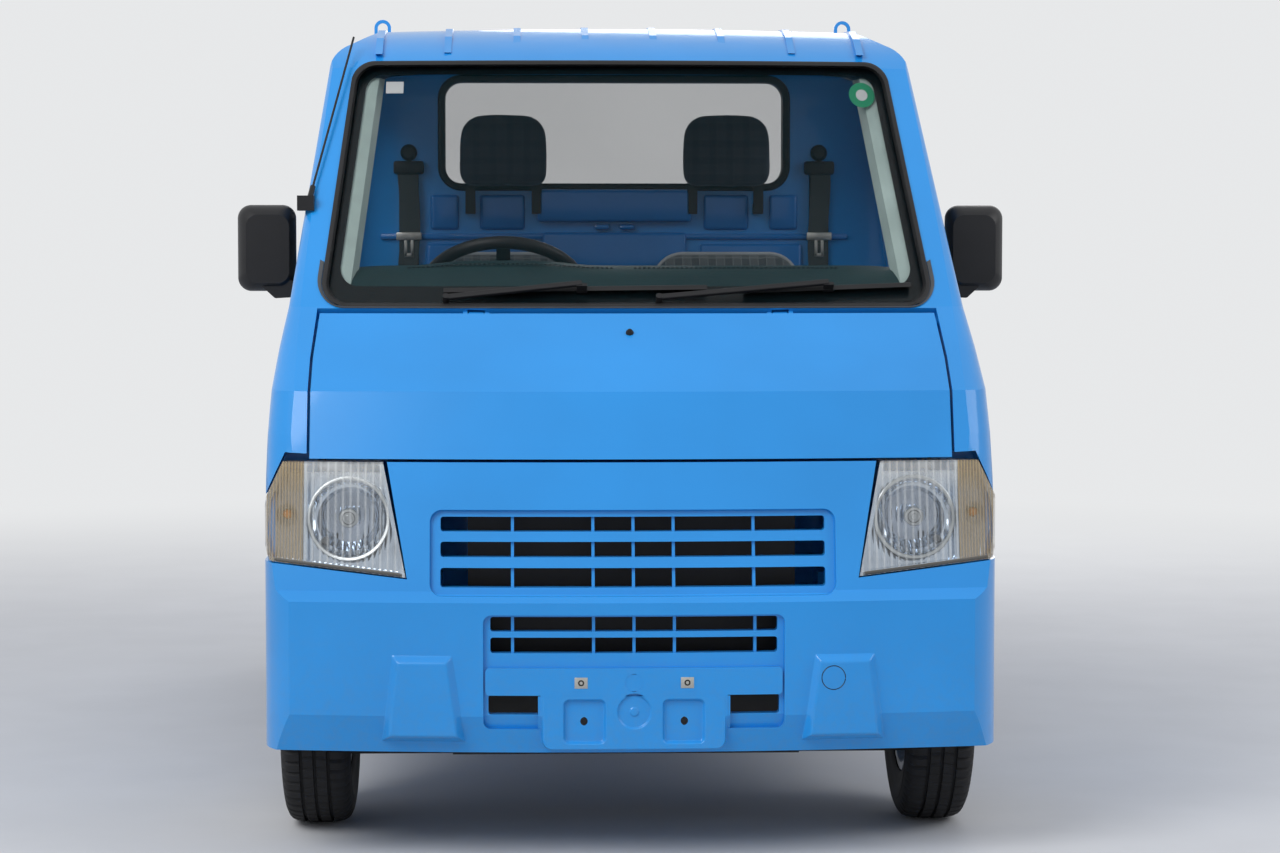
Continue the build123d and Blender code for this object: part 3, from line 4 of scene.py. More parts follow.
import bmesh
import bpy
from mathutils import Matrix, Vector
from mathutils.bvhtree import BVHTree


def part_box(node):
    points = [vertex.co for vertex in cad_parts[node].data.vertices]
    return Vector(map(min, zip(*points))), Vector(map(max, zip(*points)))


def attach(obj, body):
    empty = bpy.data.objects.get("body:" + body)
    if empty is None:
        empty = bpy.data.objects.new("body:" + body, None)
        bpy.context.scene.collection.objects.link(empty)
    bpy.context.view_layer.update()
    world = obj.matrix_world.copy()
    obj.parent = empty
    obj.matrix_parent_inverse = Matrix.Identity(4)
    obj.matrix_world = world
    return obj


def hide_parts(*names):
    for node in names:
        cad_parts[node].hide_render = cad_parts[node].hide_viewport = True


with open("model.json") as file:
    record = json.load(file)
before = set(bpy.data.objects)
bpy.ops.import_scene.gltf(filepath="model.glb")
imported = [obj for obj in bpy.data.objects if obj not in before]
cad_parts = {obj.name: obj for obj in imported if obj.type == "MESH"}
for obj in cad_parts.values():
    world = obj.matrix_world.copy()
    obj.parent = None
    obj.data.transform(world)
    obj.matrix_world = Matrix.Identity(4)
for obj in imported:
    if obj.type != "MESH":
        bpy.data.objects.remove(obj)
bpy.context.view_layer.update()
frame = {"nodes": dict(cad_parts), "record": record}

# Overall places of the truck in metres: the front face is at minus half the length
LENGTH = 3.395
HALF_WIDTH = 0.7375
NOSE_BOW = 0.062
FRONT_AXLE = 0.530
REAR_AXLE = 2.950
SIDES = ((1, "left"), (-1, "right"))
BACKWARDS = (0, 1, 0)


def at(station):
    """Y of a station, which counts metres behind the front face."""
    return station - LENGTH / 2


def bow(x):
    """How far the curved front lies back at x."""
    return NOSE_BOW * (x / HALF_WIDTH) ** 2


def clamp(value, low, high):
    """Value kept between two limits."""
    return min(max(value, low), high)


def ease(value):
    """Smooth step from 0 to 1."""
    value = clamp(value, 0.0, 1.0)
    return value * value * (3 - 2 * value)


def spread(low, high, count):
    """Evenly spaced numbers from low to high."""
    return [low + (high - low) * i / (count - 1) for i in range(count)]


def circle(x, z, radius, count):
    """Evenly spaced points (x, z) round a middle."""
    turns = [2 * math.pi * i / count for i in range(count)]
    return [(x + radius * math.cos(turn), z + radius * math.sin(turn)) for turn in turns]


# Camera: one long lens in front of the truck, a little to its right side
IMAGE_WIDTH = 1280
FOCAL_PIXELS = 3063
SENSOR_WIDTH = 36.0
CAMERA_PLACE = (-0.212, at(-6.0), 1.220)
CAMERA_YAW = 2.13
CAMERA_PITCH = 3.3


def make_camera():
    """Camera at the photograph's viewing angle."""
    data = bpy.data.cameras.new("camera")
    data.sensor_width = SENSOR_WIDTH
    data.lens = SENSOR_WIDTH * FOCAL_PIXELS / IMAGE_WIDTH
    data.clip_end = 100
    camera = bpy.data.objects.new("camera", data)
    camera.location = CAMERA_PLACE
    camera.rotation_euler = (math.radians(90 - CAMERA_PITCH), 0, math.radians(-CAMERA_YAW))
    bpy.context.scene.collection.objects.link(camera)
    bpy.context.scene.camera = camera


# Materials
class Shader:
    """A node tree of a material or world, with short calls for the nodes used here."""

    def __init__(self, name, kind=bpy.data.materials):
        self.owner = kind.new(name)
        self.owner.use_nodes = True
        self.nodes = self.owner.node_tree.nodes
        self.links = self.owner.node_tree.links
        self.bsdf = self.nodes.get("Principled BSDF")

    def feed(self, socket, value):
        """Links an output to a socket, or writes a value on it; a colour gets its alpha."""
        if isinstance(value, bpy.types.NodeSocket):
            self.links.new(value, socket)
        elif socket.type == "RGBA":
            socket.default_value = (*value, 1)
        else:
            socket.default_value = value

    def node(self, kind, inputs=None, **settings):
        """New node with its settings and its input values or links."""
        made = self.nodes.new(kind)
        for key, value in settings.items():
            setattr(made, key, value)
        for key, value in (inputs or {}).items():
            self.feed(made.inputs[key], value)
        return made

    def set(self, **values):
        """Sets or links inputs of the surface, with underscores for spaces in their names."""
        for key, value in values.items():
            self.feed(self.bsdf.inputs[key.replace("_", " ")], value)

    def place(self):
        """Object coordinates in metres."""
        source = self.node("ShaderNodeTexCoord").outputs["Object"]
        return self.node("ShaderNodeMapping", {"Vector": source}).outputs["Vector"]

    def split(self, vector):
        """The three parts of a vector output."""
        made = self.node("ShaderNodeSeparateXYZ", {"Vector": vector})
        return [made.outputs[axis] for axis in "XYZ"]

    def noise(self, scale, detail=4, roughness=0.55):
        """Grey value of a noise of the given scale per metre."""
        inputs = {"Vector": self.place(), "Scale": scale, "Detail": detail, "Roughness": roughness}
        return self.node("ShaderNodeTexNoise", inputs).outputs["Fac"]

    def ramp(self, value, low, first, high, second):
        """Colour that goes from the first at low to the second at high."""
        made = self.node("ShaderNodeValToRGB", {"Fac": value})
        for element, position, colour in zip(made.color_ramp.elements, (low, high), (first, second)):
            element.position = position
            element.color = (*colour, 1)
        return made.outputs["Color"]

    def patches(self, noise, low, high):
        """White patches on black from a noise."""
        return self.ramp(noise, low, (0, 0, 0), high, (1, 1, 1))

    def between(self, noise, low, high):
        """A noise's middle range, turned into values from low to high."""
        inputs = {"Value": noise, "From Min": 0.3, "From Max": 0.7, "To Min": low, "To Max": high}
        return self.node("ShaderNodeMapRange", inputs).outputs["Result"]

    def mix(self, share, first, second):
        """Mix of two colours or colour outputs."""
        made = self.node("ShaderNodeMix", {0: share, 6: first, 7: second}, data_type="RGBA")
        return made.outputs[2]

    def math(self, operation, first, second=0.0, clamp=False):
        """Arithmetic on two values or outputs."""
        made = self.node("ShaderNodeMath", {0: first, 1: second}, operation=operation, use_clamp=clamp)
        return made.outputs[0]

    def times(self, first, second, clamp=False):
        """Product of two values or outputs."""
        return self.math("MULTIPLY", first, second, clamp)

    def add(self, first, second, clamp=False):
        """Sum of two values or outputs."""
        return self.math("ADD", first, second, clamp)

    def rest(self, value, clamp=False):
        """What a value or output leaves of 1."""
        return self.math("SUBTRACT", 1.0, value, clamp)

    def wave(self, value, pitch):
        """Sine wave of a pitch in metres."""
        return self.math("SINE", self.times(value, 2 * math.pi / pitch))

    def bump(self, height, strength, distance):
        """Bump from a height value, distance in metres."""
        inputs = {"Height": height, "Strength": strength, "Distance": distance}
        made = self.node("ShaderNodeBump", inputs)
        self.links.new(made.outputs["Normal"], self.bsdf.inputs["Normal"])
        return self.owner


DUST = (0.20, 0.18, 0.15)
DUST_FALL = 1.9
SIGNAL_FROM = 0.657
SIGNAL_YELLOW = (0.42, 0.33, 0.20)
FLUTE_PITCH = 0.0062
BEAM_PITCH = 0.0300
FACET_PITCH = 0.022
SEAT_CHECK = 0.020
THREAD_PITCH = 0.0016
WEBBING_PITCH = 0.003


def shade(colour, factor):
    """A colour made lighter or darker."""
    return tuple(part * factor for part in colour)


def paint(name, colour, dust=0.25):
    """Gloss car paint: clear coat over a colour with slight mottling, dusty near the ground."""
    made = Shader(name)
    tone = made.ramp(made.noise(2.2, 3), 0.35, shade(colour, 0.90), 0.65, colour)
    height = made.split(made.place())[2]
    low = made.rest(made.times(height, DUST_FALL), clamp=True)
    speckle = made.patches(made.noise(60, 6, 0.7), 0.42, 0.75)
    dirt = made.times(made.times(low, speckle), dust, clamp=True)
    made.set(Base_Color=made.mix(dirt, tone, DUST), Roughness=made.add(0.28, made.times(dirt, 0.5)))
    made.set(Coat_Weight=0.45, Coat_Roughness=0.05, Specular_IOR_Level=0.3)
    return made.bump(made.noise(350, 2), 0.05, 0.0006)


def plastic(name, colour, roughness=0.5, grain=900.0, depth=0.3):
    """Moulded plastic or rubber with a fine grain and faint fading."""
    made = Shader(name)
    pale = tuple(min(1, c * 1.3 + 0.002) for c in colour)
    made.set(Base_Color=made.ramp(made.noise(9, 5), 0.3, colour, 0.75, pale))
    made.set(Roughness=roughness, Specular_IOR_Level=0.32)
    return made.bump(made.noise(grain, 3), depth, 0.0004)


def metal(name, colour, roughness=0.35, amount=0.5):
    """Bare or painted metal with an amount of grime in patches."""
    made = Shader(name)
    share = made.times(made.patches(made.noise(30, 8, 0.7), 0.45, 0.7), amount)
    made.set(Base_Color=made.mix(share, colour, (0.05, 0.04, 0.03)))
    made.set(Metallic=made.math("SUBTRACT", 0.9, share))
    made.set(Roughness=made.add(roughness, made.times(share, 0.4)))
    return made.bump(made.noise(400, 3), 0.1, 0.0005)


def window(name, tint):
    """Window glass: a clear tinted sheet that also mirrors a little."""
    made = Shader(name)
    made.set(Base_Color=tint, Roughness=0.02, IOR=1.45, Specular_IOR_Level=0.25)
    made.set(Alpha=made.between(made.noise(1.3, 2), 0.15, 0.20))
    return made.owner


def fluted(name, tint):
    """Lamp lens: clear over the main beam, yellowed and finely fluted over the turn signal."""
    made = Shader(name)
    across, _, up = made.split(made.place())
    outer = made.math("GREATER_THAN", made.math("ABSOLUTE", across), SIGNAL_FROM)
    flute = made.add(made.times(made.wave(across, FLUTE_PITCH), 0.5), 0.5)
    signal = made.add(0.20, made.times(made.math("POWER", flute, 2.0), 0.34))
    broad = made.math("ABSOLUTE", made.wave(across, BEAM_PITCH))
    main = made.add(0.05, made.times(made.math("POWER", broad, 9.0), 0.14))
    top = made.times(made.math("SUBTRACT", up, 0.735), 9.0, clamp=True)
    alpha = made.add(made.times(signal, outer), made.times(main, made.rest(outer)))
    haze = made.times(top, made.between(made.noise(20, 4), 0.25, 0.75))
    made.set(Base_Color=made.mix(outer, tint, SIGNAL_YELLOW), Roughness=0.06)
    made.set(Alpha=made.add(alpha, haze, clamp=True))
    return made.bump(made.times(flute, outer), 0.5, 0.0012)


def faceted(name, colour):
    """Lamp reflector: bright metal with broad upright facets."""
    made = Shader(name)
    across = made.split(made.place())[0]
    made.set(Base_Color=made.ramp(made.noise(18, 4), 0.3, shade(colour, 0.72), 0.7, colour))
    made.set(Metallic=1.0, Roughness=0.12)
    return made.bump(made.math("ABSOLUTE", made.wave(across, FACET_PITCH)), 0.35, 0.003)


def cloth(name, ground, line):
    """Woven seat cloth with a small check: stripes across, and along whichever way the face runs."""
    made = Shader(name)
    x, y, z = made.split(made.place())
    facing = made.split(made.node("ShaderNodeNewGeometry").outputs["Normal"])[2]
    level = made.math("GREATER_THAN", made.math("ABSOLUTE", facing), 0.72)
    along = made.add(made.times(y, level), made.times(z, made.rest(level)))

    def stripe(value, pitch, share):
        part = made.math("FRACT", made.add(made.math("DIVIDE", value, pitch), 100.0))
        return made.math("LESS_THAN", part, share)

    broad = made.add(stripe(x, SEAT_CHECK * 2, 0.5), stripe(along, SEAT_CHECK * 2, 0.5))
    fine = made.math("MAXIMUM", stripe(x, SEAT_CHECK, 0.10), stripe(along, SEAT_CHECK, 0.10))
    tone = made.mix(made.times(broad, 0.22), ground, line)
    tone = made.mix(made.times(fine, 0.55), tone, line)
    faded = tuple(min(1, c * 1.6 + 0.02) for c in ground)
    tone = made.mix(made.between(made.noise(5, 4), 0.0, 0.22), tone, faded)
    made.set(Base_Color=tone, Roughness=0.92, Sheen_Weight=0.25, Sheen_Roughness=0.4)
    return made.bump(made.times(made.wave(x, THREAD_PITCH), made.wave(along, THREAD_PITCH)), 0.4, 0.0004)


def webbing(name, colour):
    """Seat belt webbing with a diagonal weave."""
    made = Shader(name)
    x, _, z = made.split(made.place())
    made.set(Base_Color=made.ramp(made.noise(20, 4), 0.3, colour, 0.8, shade(colour, 1.5)))
    made.set(Roughness=0.7, Sheen_Weight=0.2)
    return made.bump(made.wave(made.add(x, z), WEBBING_PITCH), 0.5, 0.0004)


LOOKS = {
    # look: slot of the pieces that wear it, material
    "body": ("body", paint("body_paint", (0.016, 0.280, 0.715))),
    # darker copy of the body paint for the cab's inside: painted shade
    "body_shaded_inside": ("body", paint("body_paint_shaded_inside", (0.020, 0.205, 0.590), 0.10)),
    "frame": ("frame", plastic("chassis_paint", (0.012, 0.012, 0.013), 0.45, 500)),
    "glass": ("glass", window("window_glass", (0.002, 0.014, 0.018))),
    "lens": ("lens", fluted("lamp_lens_glass", (0.80, 0.82, 0.80))),
    "reflector": ("reflector", faceted("lamp_reflector", (0.46, 0.53, 0.62))),
    "bezel": ("reflector", metal("lamp_bezel", (0.34, 0.36, 0.37), 0.28, 0.05)),
    "mirror": ("reflector", metal("mirror_glass", (0.80, 0.82, 0.83), 0.03, 0.02)),
    "black_plastic": ("black_plastic", plastic("black_plastic", (0.008, 0.008, 0.009), 0.42)),
    "band": ("black_plastic", plastic("black_ceramic", (0.006, 0.006, 0.007), 0.25, 300, 0.05)),
    "trim_grey": ("black_plastic", plastic("grey_trim", (0.050, 0.055, 0.060), 0.45)),
    "lens_seal": ("black_plastic", plastic("lens_seal_grey", (0.085, 0.080, 0.070), 0.5)),
    "dash_plastic": ("dash_plastic", plastic("dash_plastic", (0.030, 0.036, 0.038), 0.55)),
    "dash_pad": ("dash_plastic", plastic("dash_pad_vinyl", (0.008, 0.036, 0.040), 0.55, 600, 0.45)),
    "pillar_trim": ("dash_plastic", plastic("pillar_trim_grey", (0.48, 0.60, 0.55), 0.55)),
    "lining": ("dash_plastic", plastic("roof_lining_vinyl", (0.42, 0.44, 0.42), 0.8, 500, 0.4)),
    "paper": ("dash_plastic", plastic("white_sticker", (0.72, 0.74, 0.72), 0.5, 300, 0.05)),
    "green_paper": ("dash_plastic", plastic("green_sticker", (0.02, 0.34, 0.16), 0.45, 300, 0.05)),
    "tyre": ("tyre", plastic("tyre_rubber", (0.011, 0.011, 0.012), 0.72, 300, 0.5)),
    "rubber": ("rubber", plastic("black_rubber", (0.010, 0.010, 0.011), 0.55)),
    "rim": ("rim", metal("wheel_paint", (0.50, 0.51, 0.52), 0.38)),
    "steel": ("steel", metal("dull_steel", (0.28, 0.28, 0.28), 0.5)),
    "zinc": ("steel", metal("zinc_plate", (0.50, 0.50, 0.47), 0.35, 0.25)),
    "iron": ("iron", metal("cast_iron", (0.06, 0.06, 0.06), 0.6)),
    "aluminium": ("aluminium", metal("cast_alloy", (0.30, 0.30, 0.31), 0.55)),
    "seat": ("seat", cloth("seat_cloth", (0.075, 0.085, 0.090), (0.30, 0.32, 0.31))),
    "seat_dark": ("seat", cloth("headrest_cloth", (0.020, 0.026, 0.040), (0.060, 0.070, 0.085))),
    "piping": ("seat", plastic("piping_vinyl", (0.42, 0.44, 0.44), 0.5, 700, 0.2)),
    "belt": ("seat", webbing("belt_webbing", (0.030, 0.038, 0.038))),
    "lamp_red": ("lamp_red", plastic("red_lens", (0.42, 0.010, 0.010), 0.12, 200, 0.05)),
    "amber": ("lamp_red", plastic("amber_lens", (0.80, 0.22, 0.015), 0.12, 200, 0.05)),
    "white_lens": ("lamp_red", plastic("white_lens", (0.62, 0.62, 0.60), 0.15, 200, 0.05)),
}


def dress_nodes():
    """Gives each CAD node the material of its slot."""
    for part in frame["record"]["subparts"]:
        data = frame["nodes"][part["node"]].data
        data.materials.clear()
        data.materials.append(LOOKS[part["material_slot"]][1])


# Shapes
class Shape:
    """Mesh gathered from small forms, made into one piece at the end."""

    def __init__(self):
        self.mesh = bmesh.new()

    def grid(self, rows, wrap_rows=False, wrap_columns=False, caps=False):
        """Quads over rows of points; caps close the first and last row."""
        made = [[self.mesh.verts.new(point) for point in row] for row in rows]
        width = len(made[0])
        for i in range(len(made) if wrap_rows else len(made) - 1):
            first, second = made[i], made[(i + 1) % len(made)]
            for j in range(width if wrap_columns else width - 1):
                k = (j + 1) % width
                self.mesh.faces.new((first[j], first[k], second[k], second[j]))
        if caps:
            self.mesh.faces.new(list(reversed(made[0])))
            self.mesh.faces.new(made[-1])
        return self

    def loops(self, rows, caps=False):
        """Skin over closed loops of points."""
        return self.grid(rows, wrap_columns=True, caps=caps)

    def lathe(self, profile, centre, axis, sides=32):
        """Profile of (radius, height) turned about an axis."""
        axis = Vector(axis).normalized()
        across = axis.orthogonal().normalized()
        up = axis.cross(across)
        rows = []
        for cosine, sine in circle(0.0, 0.0, 1.0, sides):
            arm = across * cosine + up * sine
            rows.append([Vector(centre) + arm * r + axis * h for r, h in profile])
        return self.grid(rows, wrap_rows=True)

    def tube(self, path, radius, sides=8, closed=False, flat=1.0, up=(0, 0, 1)):
        """Round or flattened bar along a path; flat squeezes it along its second axis."""
        path = [Vector(p) for p in path]
        rows = []
        count = len(path)
        for i, point in enumerate(path):
            before = path[(i - 1) % count] if closed or i else point
            after = path[(i + 1) % count] if closed or i < count - 1 else point
            along = (after - before).normalized()
            side = along.cross(Vector(up))
            if side.length < 1e-4:
                side = along.orthogonal()
            side.normalize()
            top = side.cross(along).normalized() * flat
            rows.append([point + side * a + top * b for a, b in circle(0.0, 0.0, radius, sides)])
        return self.grid(rows, wrap_rows=closed, wrap_columns=True, caps=not closed)

    def box(self, first, second, bevel, turn=None, about=None, segments=2):
        """Block between two opposite corners with rounded edges, turned about a point."""
        low = Vector([min(pair) for pair in zip(first, second)])
        high = Vector([max(pair) for pair in zip(first, second)])
        made = bmesh.ops.create_cube(self.mesh, size=1.0)["verts"]
        matrix = Matrix.Translation((low + high) / 2) @ Matrix.Diagonal((*(high - low), 1))
        bmesh.ops.transform(self.mesh, matrix=matrix, verts=made)
        edges = list({edge for vert in made for edge in vert.link_edges})
        faces = bmesh.ops.bevel(
            self.mesh, geom=edges, offset=bevel, segments=segments, profile=0.5, affect="EDGES"
        )["faces"]
        if turn is not None:
            verts = {vert for face in faces for vert in face.verts} | {v for v in made if v.is_valid}
            centre = Vector(about)
            place = Matrix.Translation(centre) @ turn.to_4x4() @ Matrix.Translation(-centre)
            bmesh.ops.transform(self.mesh, matrix=place, verts=list(verts))
        return self

    def mirror_x(self):
        """Adds the same forms on the other side of the middle."""
        whole = self.mesh.verts[:] + self.mesh.edges[:] + self.mesh.faces[:]
        extra = bmesh.ops.duplicate(self.mesh, geom=whole)["geom"]
        verts = [g for g in extra if isinstance(g, bmesh.types.BMVert)]
        faces = [g for g in extra if isinstance(g, bmesh.types.BMFace)]
        bmesh.ops.scale(self.mesh, vec=(-1, 1, 1), verts=verts)
        bmesh.ops.reverse_faces(self.mesh, faces=faces)
        return self

    def link(self, name):
        """Turns the mesh into an object of the scene."""
        data = bpy.data.meshes.new(name)
        self.mesh.to_mesh(data)
        self.mesh.free()
        made = bpy.data.objects.new(name, data)
        bpy.context.scene.collection.objects.link(made)
        return made

    def finish(self, name, look, body="root", slot=None, angle=40, normals=True):
        """Makes the object, rides it on its body and gives it its look; the slot is not used."""
        if normals:
            bmesh.ops.recalc_face_normals(self.mesh, faces=self.mesh.faces[:])
        limit = math.radians(angle)
        for face in self.mesh.faces:
            face.smooth = True
        for edge in self.mesh.edges:
            edge.smooth = len(edge.link_faces) == 2 and edge.calc_face_angle(0) < limit
        made = self.link(name)
        made.data.materials.append(LOOKS[look][1])
        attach(made, body)
        return made


def each(value, count):
    """A list as it is, or one value repeated."""
    return value if isinstance(value, (list, tuple)) else [value] * count


def shrink(corners, distances):
    """Corners of a polygon, listed anticlockwise, with each edge moved inwards by its distance."""
    count = len(corners)
    lines = []
    for i, distance in enumerate(each(distances, count)):
        ax, ay = corners[i]
        bx, by = corners[(i + 1) % count]
        length = math.hypot(bx - ax, by - ay)
        nx, ny = -(by - ay) / length, (bx - ax) / length
        lines.append((ax + nx * distance, ay + ny * distance, bx - ax, by - ay))
    out = []
    for i in range(count):
        px, py, pdx, pdy = lines[i - 1]
        qx, qy, qdx, qdy = lines[i]
        cross = pdx * qdy - pdy * qdx
        t = ((qx - px) * qdy - (qy - py) * qdx) / cross
        out.append((px + pdx * t, py + pdy * t))
    return out


def rounded(corners, radius, arc=8, straight=14):
    """Closed loop of points with rounded corners and points along its straights."""
    count = len(corners)
    arcs = []
    for i, bend in enumerate(each(radius, count)):
        c = Vector(corners[i])
        a = (Vector(corners[i - 1]) - c).normalized()
        b = (Vector(corners[(i + 1) % count]) - c).normalized()
        half = a.angle(b) / 2
        reach = bend / math.tan(half)
        middle = c + (a + b).normalized() * (bend / math.sin(half))
        first, last = c + a * reach - middle, c + b * reach - middle
        turn = first.angle_signed(last)
        row = []
        for step in spread(0.0, -turn, arc + 1):
            cosine, sine = math.cos(step), math.sin(step)
            arm = Vector((first.x * cosine - first.y * sine, first.x * sine + first.y * cosine))
            row.append(middle + arm)
        arcs.append(row)
    loop = []
    for i in range(count):
        loop.extend(arcs[i])
        start, end = arcs[i][-1], arcs[(i + 1) % count][0]
        loop.extend(start.lerp(end, k / straight) for k in range(1, straight))
    return loop


def distance_inside(corners, x, z):
    """Distance of a point inside a convex outline listed anticlockwise."""
    best = 1.0
    for i, (ax, az) in enumerate(corners):
        bx, bz = corners[(i + 1) % len(corners)]
        length = math.hypot(bx - ax, bz - az)
        best = min(best, ((bx - ax) * (z - az) - (bz - az) * (x - ax)) / length)
    return best


def distance_inside_rounded(x, z, middle_x, middle_z, half_x, half_z, radius):
    """Distance of a point inside a rectangle with rounded corners."""
    qx = abs(x - middle_x) - half_x + radius
    qz = abs(z - middle_z) - half_z + radius
    return radius - math.hypot(max(qx, 0.0), max(qz, 0.0)) - min(max(qx, qz), 0.0)


def path_from(root, *steps):
    """Points at the given offsets from a root."""
    return [root + Vector(step) for step in steps]


def tree_of(thing):
    """Ray tree over a piece."""
    data = thing.data
    return BVHTree.FromPolygons([v.co for v in data.vertices], [list(p.vertices) for p in data.polygons])


def node_tree(name):
    """Ray tree over a CAD node at rest."""
    return tree_of(frame["nodes"][name])


def hit(tree, start, direction, lift=0.0):
    """Where a ray meets a tree, lifted back along the surface's normal."""
    direction = Vector(direction).normalized()
    place, normal, _, _ = tree.ray_cast(Vector(start), direction)
    if place is None:
        raise ValueError(f"no surface on the ray from {tuple(start)}")
    if normal.dot(direction) > 0:
        normal = -normal
    return place + normal * lift


def on_front(tree, x, z, lift=0.0):
    """Point of a tree seen from the front at x and z."""
    return hit(tree, (x, at(-2.3), z), BACKWARDS, lift)


# Windscreen rubber, black band, corner trim, pillar trim and stickers
WINDSCREEN = [(-0.636, 1.104), (0.636, 1.104), (0.588, 1.634), (-0.588, 1.634)]
WINDSCREEN_RADIUS = 0.050
SCREEN_FOOT = 0.335
SCREEN_FOOT_Z = 1.102
SCREEN_RUN = 0.515
SCREEN_RISE = 0.534
SCREEN_ARCH = 0.014
SCREEN_SLANT = 1.389
BEHIND_GLASS = 0.019
LIP = [
    # inset in the outline, depth square to the glass
    (-0.0075, 0.0006), (-0.0070, -0.0030), (-0.0030, -0.0046),
    (0.0022, -0.0034), (0.0050, 0.0040), (0.0062, 0.0132),
]
LIP_FOOT_TOP = 1.108
LIP_FOOT_INSET = -0.0010
LIP_FOOT_PROUD = -0.0004
CORNER_TRIM = [(0.0, 0.0), (0.06, -0.0022), (0.5, -0.0034), (0.94, -0.0020), (1.0, 0.0012)]
CORNER_TRIM_TOP = 1.205
STICKER_RING = (0.538, 1.565)


def screen_point(x, z, depth=0.0):
    """Point in the windscreen's opening, depth metres inside the cab's outer skin."""
    rise = (z - SCREEN_FOOT_Z) / (SCREEN_RISE - SCREEN_ARCH * (x / HALF_WIDTH) ** 2)
    return Vector((x, at(SCREEN_FOOT + SCREEN_RUN * rise + bow(x)) + depth * SCREEN_SLANT, z))


def screen_loop(insets, radius=None):
    """Loop of (x, z) in the windscreen's outline, moved inwards by one or four insets."""
    if radius is None:
        radius = max(WINDSCREEN_RADIUS - max(each(insets, 4)), 0.012)
    return rounded(shrink(WINDSCREEN, insets), radius, arc=10, straight=24)


def make_windscreen_rubber():
    """Rubber lip round the windscreen, flatter along the foot, where the bonnet lid swings past."""
    rows = []
    for inset, depth in LIP:
        row = []
        for p in screen_loop([max(inset, LIP_FOOT_INSET), inset, inset, inset]):
            row.append(screen_point(p.x, p.y, depth if p.y > LIP_FOOT_TOP else max(depth, LIP_FOOT_PROUD)))
        rows.append(row)
    Shape().loops(rows).finish("windscreen_rubber", "rubber")


def make_windscreen_band():
    """Black printed band behind the edge of the glass."""
    loops = (screen_loop(0.001), screen_loop([0.040, 0.026, 0.024, 0.026], 0.040))
    rows = [[screen_point(p.x, p.y, BEHIND_GLASS + 0.0006) for p in loop] for loop in loops]
    Shape().loops(rows).finish("windscreen_band", "band")


def make_corner_trim():
    """Grey strip round the windscreen's lower corners and foot."""
    inner = screen_loop([-0.0012, -0.0078, -0.0078, -0.0078])
    outer = screen_loop([-0.0045, -0.0175, -0.010, -0.0175], 0.060)
    keep = [i for i, p in enumerate(inner) if p.y < CORNER_TRIM_TOP]
    keep.sort(key=lambda i: math.atan2(inner[i].x, 1.6 - inner[i].y))
    rows = []
    for share, lift in CORNER_TRIM:
        places = [inner[i].lerp(outer[i], share) for i in keep]
        rows.append([screen_point(p.x, p.y, lift) for p in places])
    Shape().grid(rows).finish("windscreen_corner_trim", "trim_grey")


def make_pillar_trim():
    """Pale trim on the inside of the front pillars."""
    foot, top = WINDSCREEN[1], WINDSCREEN[2]
    rows = []
    for z in spread(1.128, 1.604, 25):
        edge = foot[0] - (foot[0] - top[0]) * (z - foot[1]) / (top[1] - foot[1])
        near = screen_point(edge - 0.020, z, 0.0235)
        middle = screen_point(edge - 0.052, z, 0.030)
        crown = near.lerp(middle, 0.5) + Vector((0, -0.002, 0))
        rows.append([near, crown, middle, screen_point(edge - 0.062, z, 0.075)])
    Shape().grid(rows).mirror_x().finish("pillar_trim", "pillar_trim", normals=False)


def make_rear_window_rubber():
    """Rubber round the rear window, inside and outside of the wall."""
    corners = [(-0.410, 1.373), (0.410, 1.373), (0.410, 1.626), (-0.410, 1.626)]
    profile = [(0.006, 0.020), (0.006, -0.001), (0.0, -0.006), (-0.008, -0.006), (-0.012, 0.0)]
    shape = Shape()
    for station, way in ((1.3598, -1), (1.4052, 1)):
        rows = []
        for inset, depth in profile:
            loop = rounded(shrink(corners, inset), 0.045 - inset, arc=8, straight=6)
            rows.append([(p.x, at(station) - way * depth, p.y) for p in loop])
        shape.loops(rows)
    shape.finish("rear_window_rubber", "rubber")


def make_stickers():
    """Two blank stickers inside the windscreen's upper corners."""
    depth = BEHIND_GLASS + 0.0009
    square = [[screen_point(x, z, depth) for x in spread(-0.522, -0.483, 7)] for z in spread(1.567, 1.594, 5)]
    Shape().grid(square).finish("blank_sticker_square", "paper")
    for part, look, radii in (("middle", "paper", (0.0005, 0.013)), ("ring", "green_paper", (0.0132, 0.029))):
        rows = [[screen_point(x, z, depth) for x, z in circle(*STICKER_RING, radius, 36)] for radius in radii]
        Shape().loops(rows).finish(f"blank_sticker_{part}", look)


# Bumper and nose details: relief sheets that sink SUNK behind the solid's face at their edges
SUNK = 0.0012
TUCK_TOP = 0.301
TUCK_SLOPE = 0.36
BULGE = [(0.330, 0.244), (0.503, 0.244), (0.482, 0.424), (0.356, 0.424)]
BULGE_PROUD = 0.0134
BULGE_SLOPE = 0.020
# The bracket and its pockets: middle x and z, half width, half height, corner radius
BRACKET = (0.0, 0.287, 0.184, 0.057, 0.022)
BRACKET_EDGE = 0.005
POCKETS = [(-0.098, 0.290, 0.043, 0.045, 0.013), (0.098, 0.290, 0.043, 0.045, 0.013)]
POCKET_DEPTH = 0.0088
POCKET_SLOPE = 0.006
DISH_Z = 0.309
DISH_R = 0.034
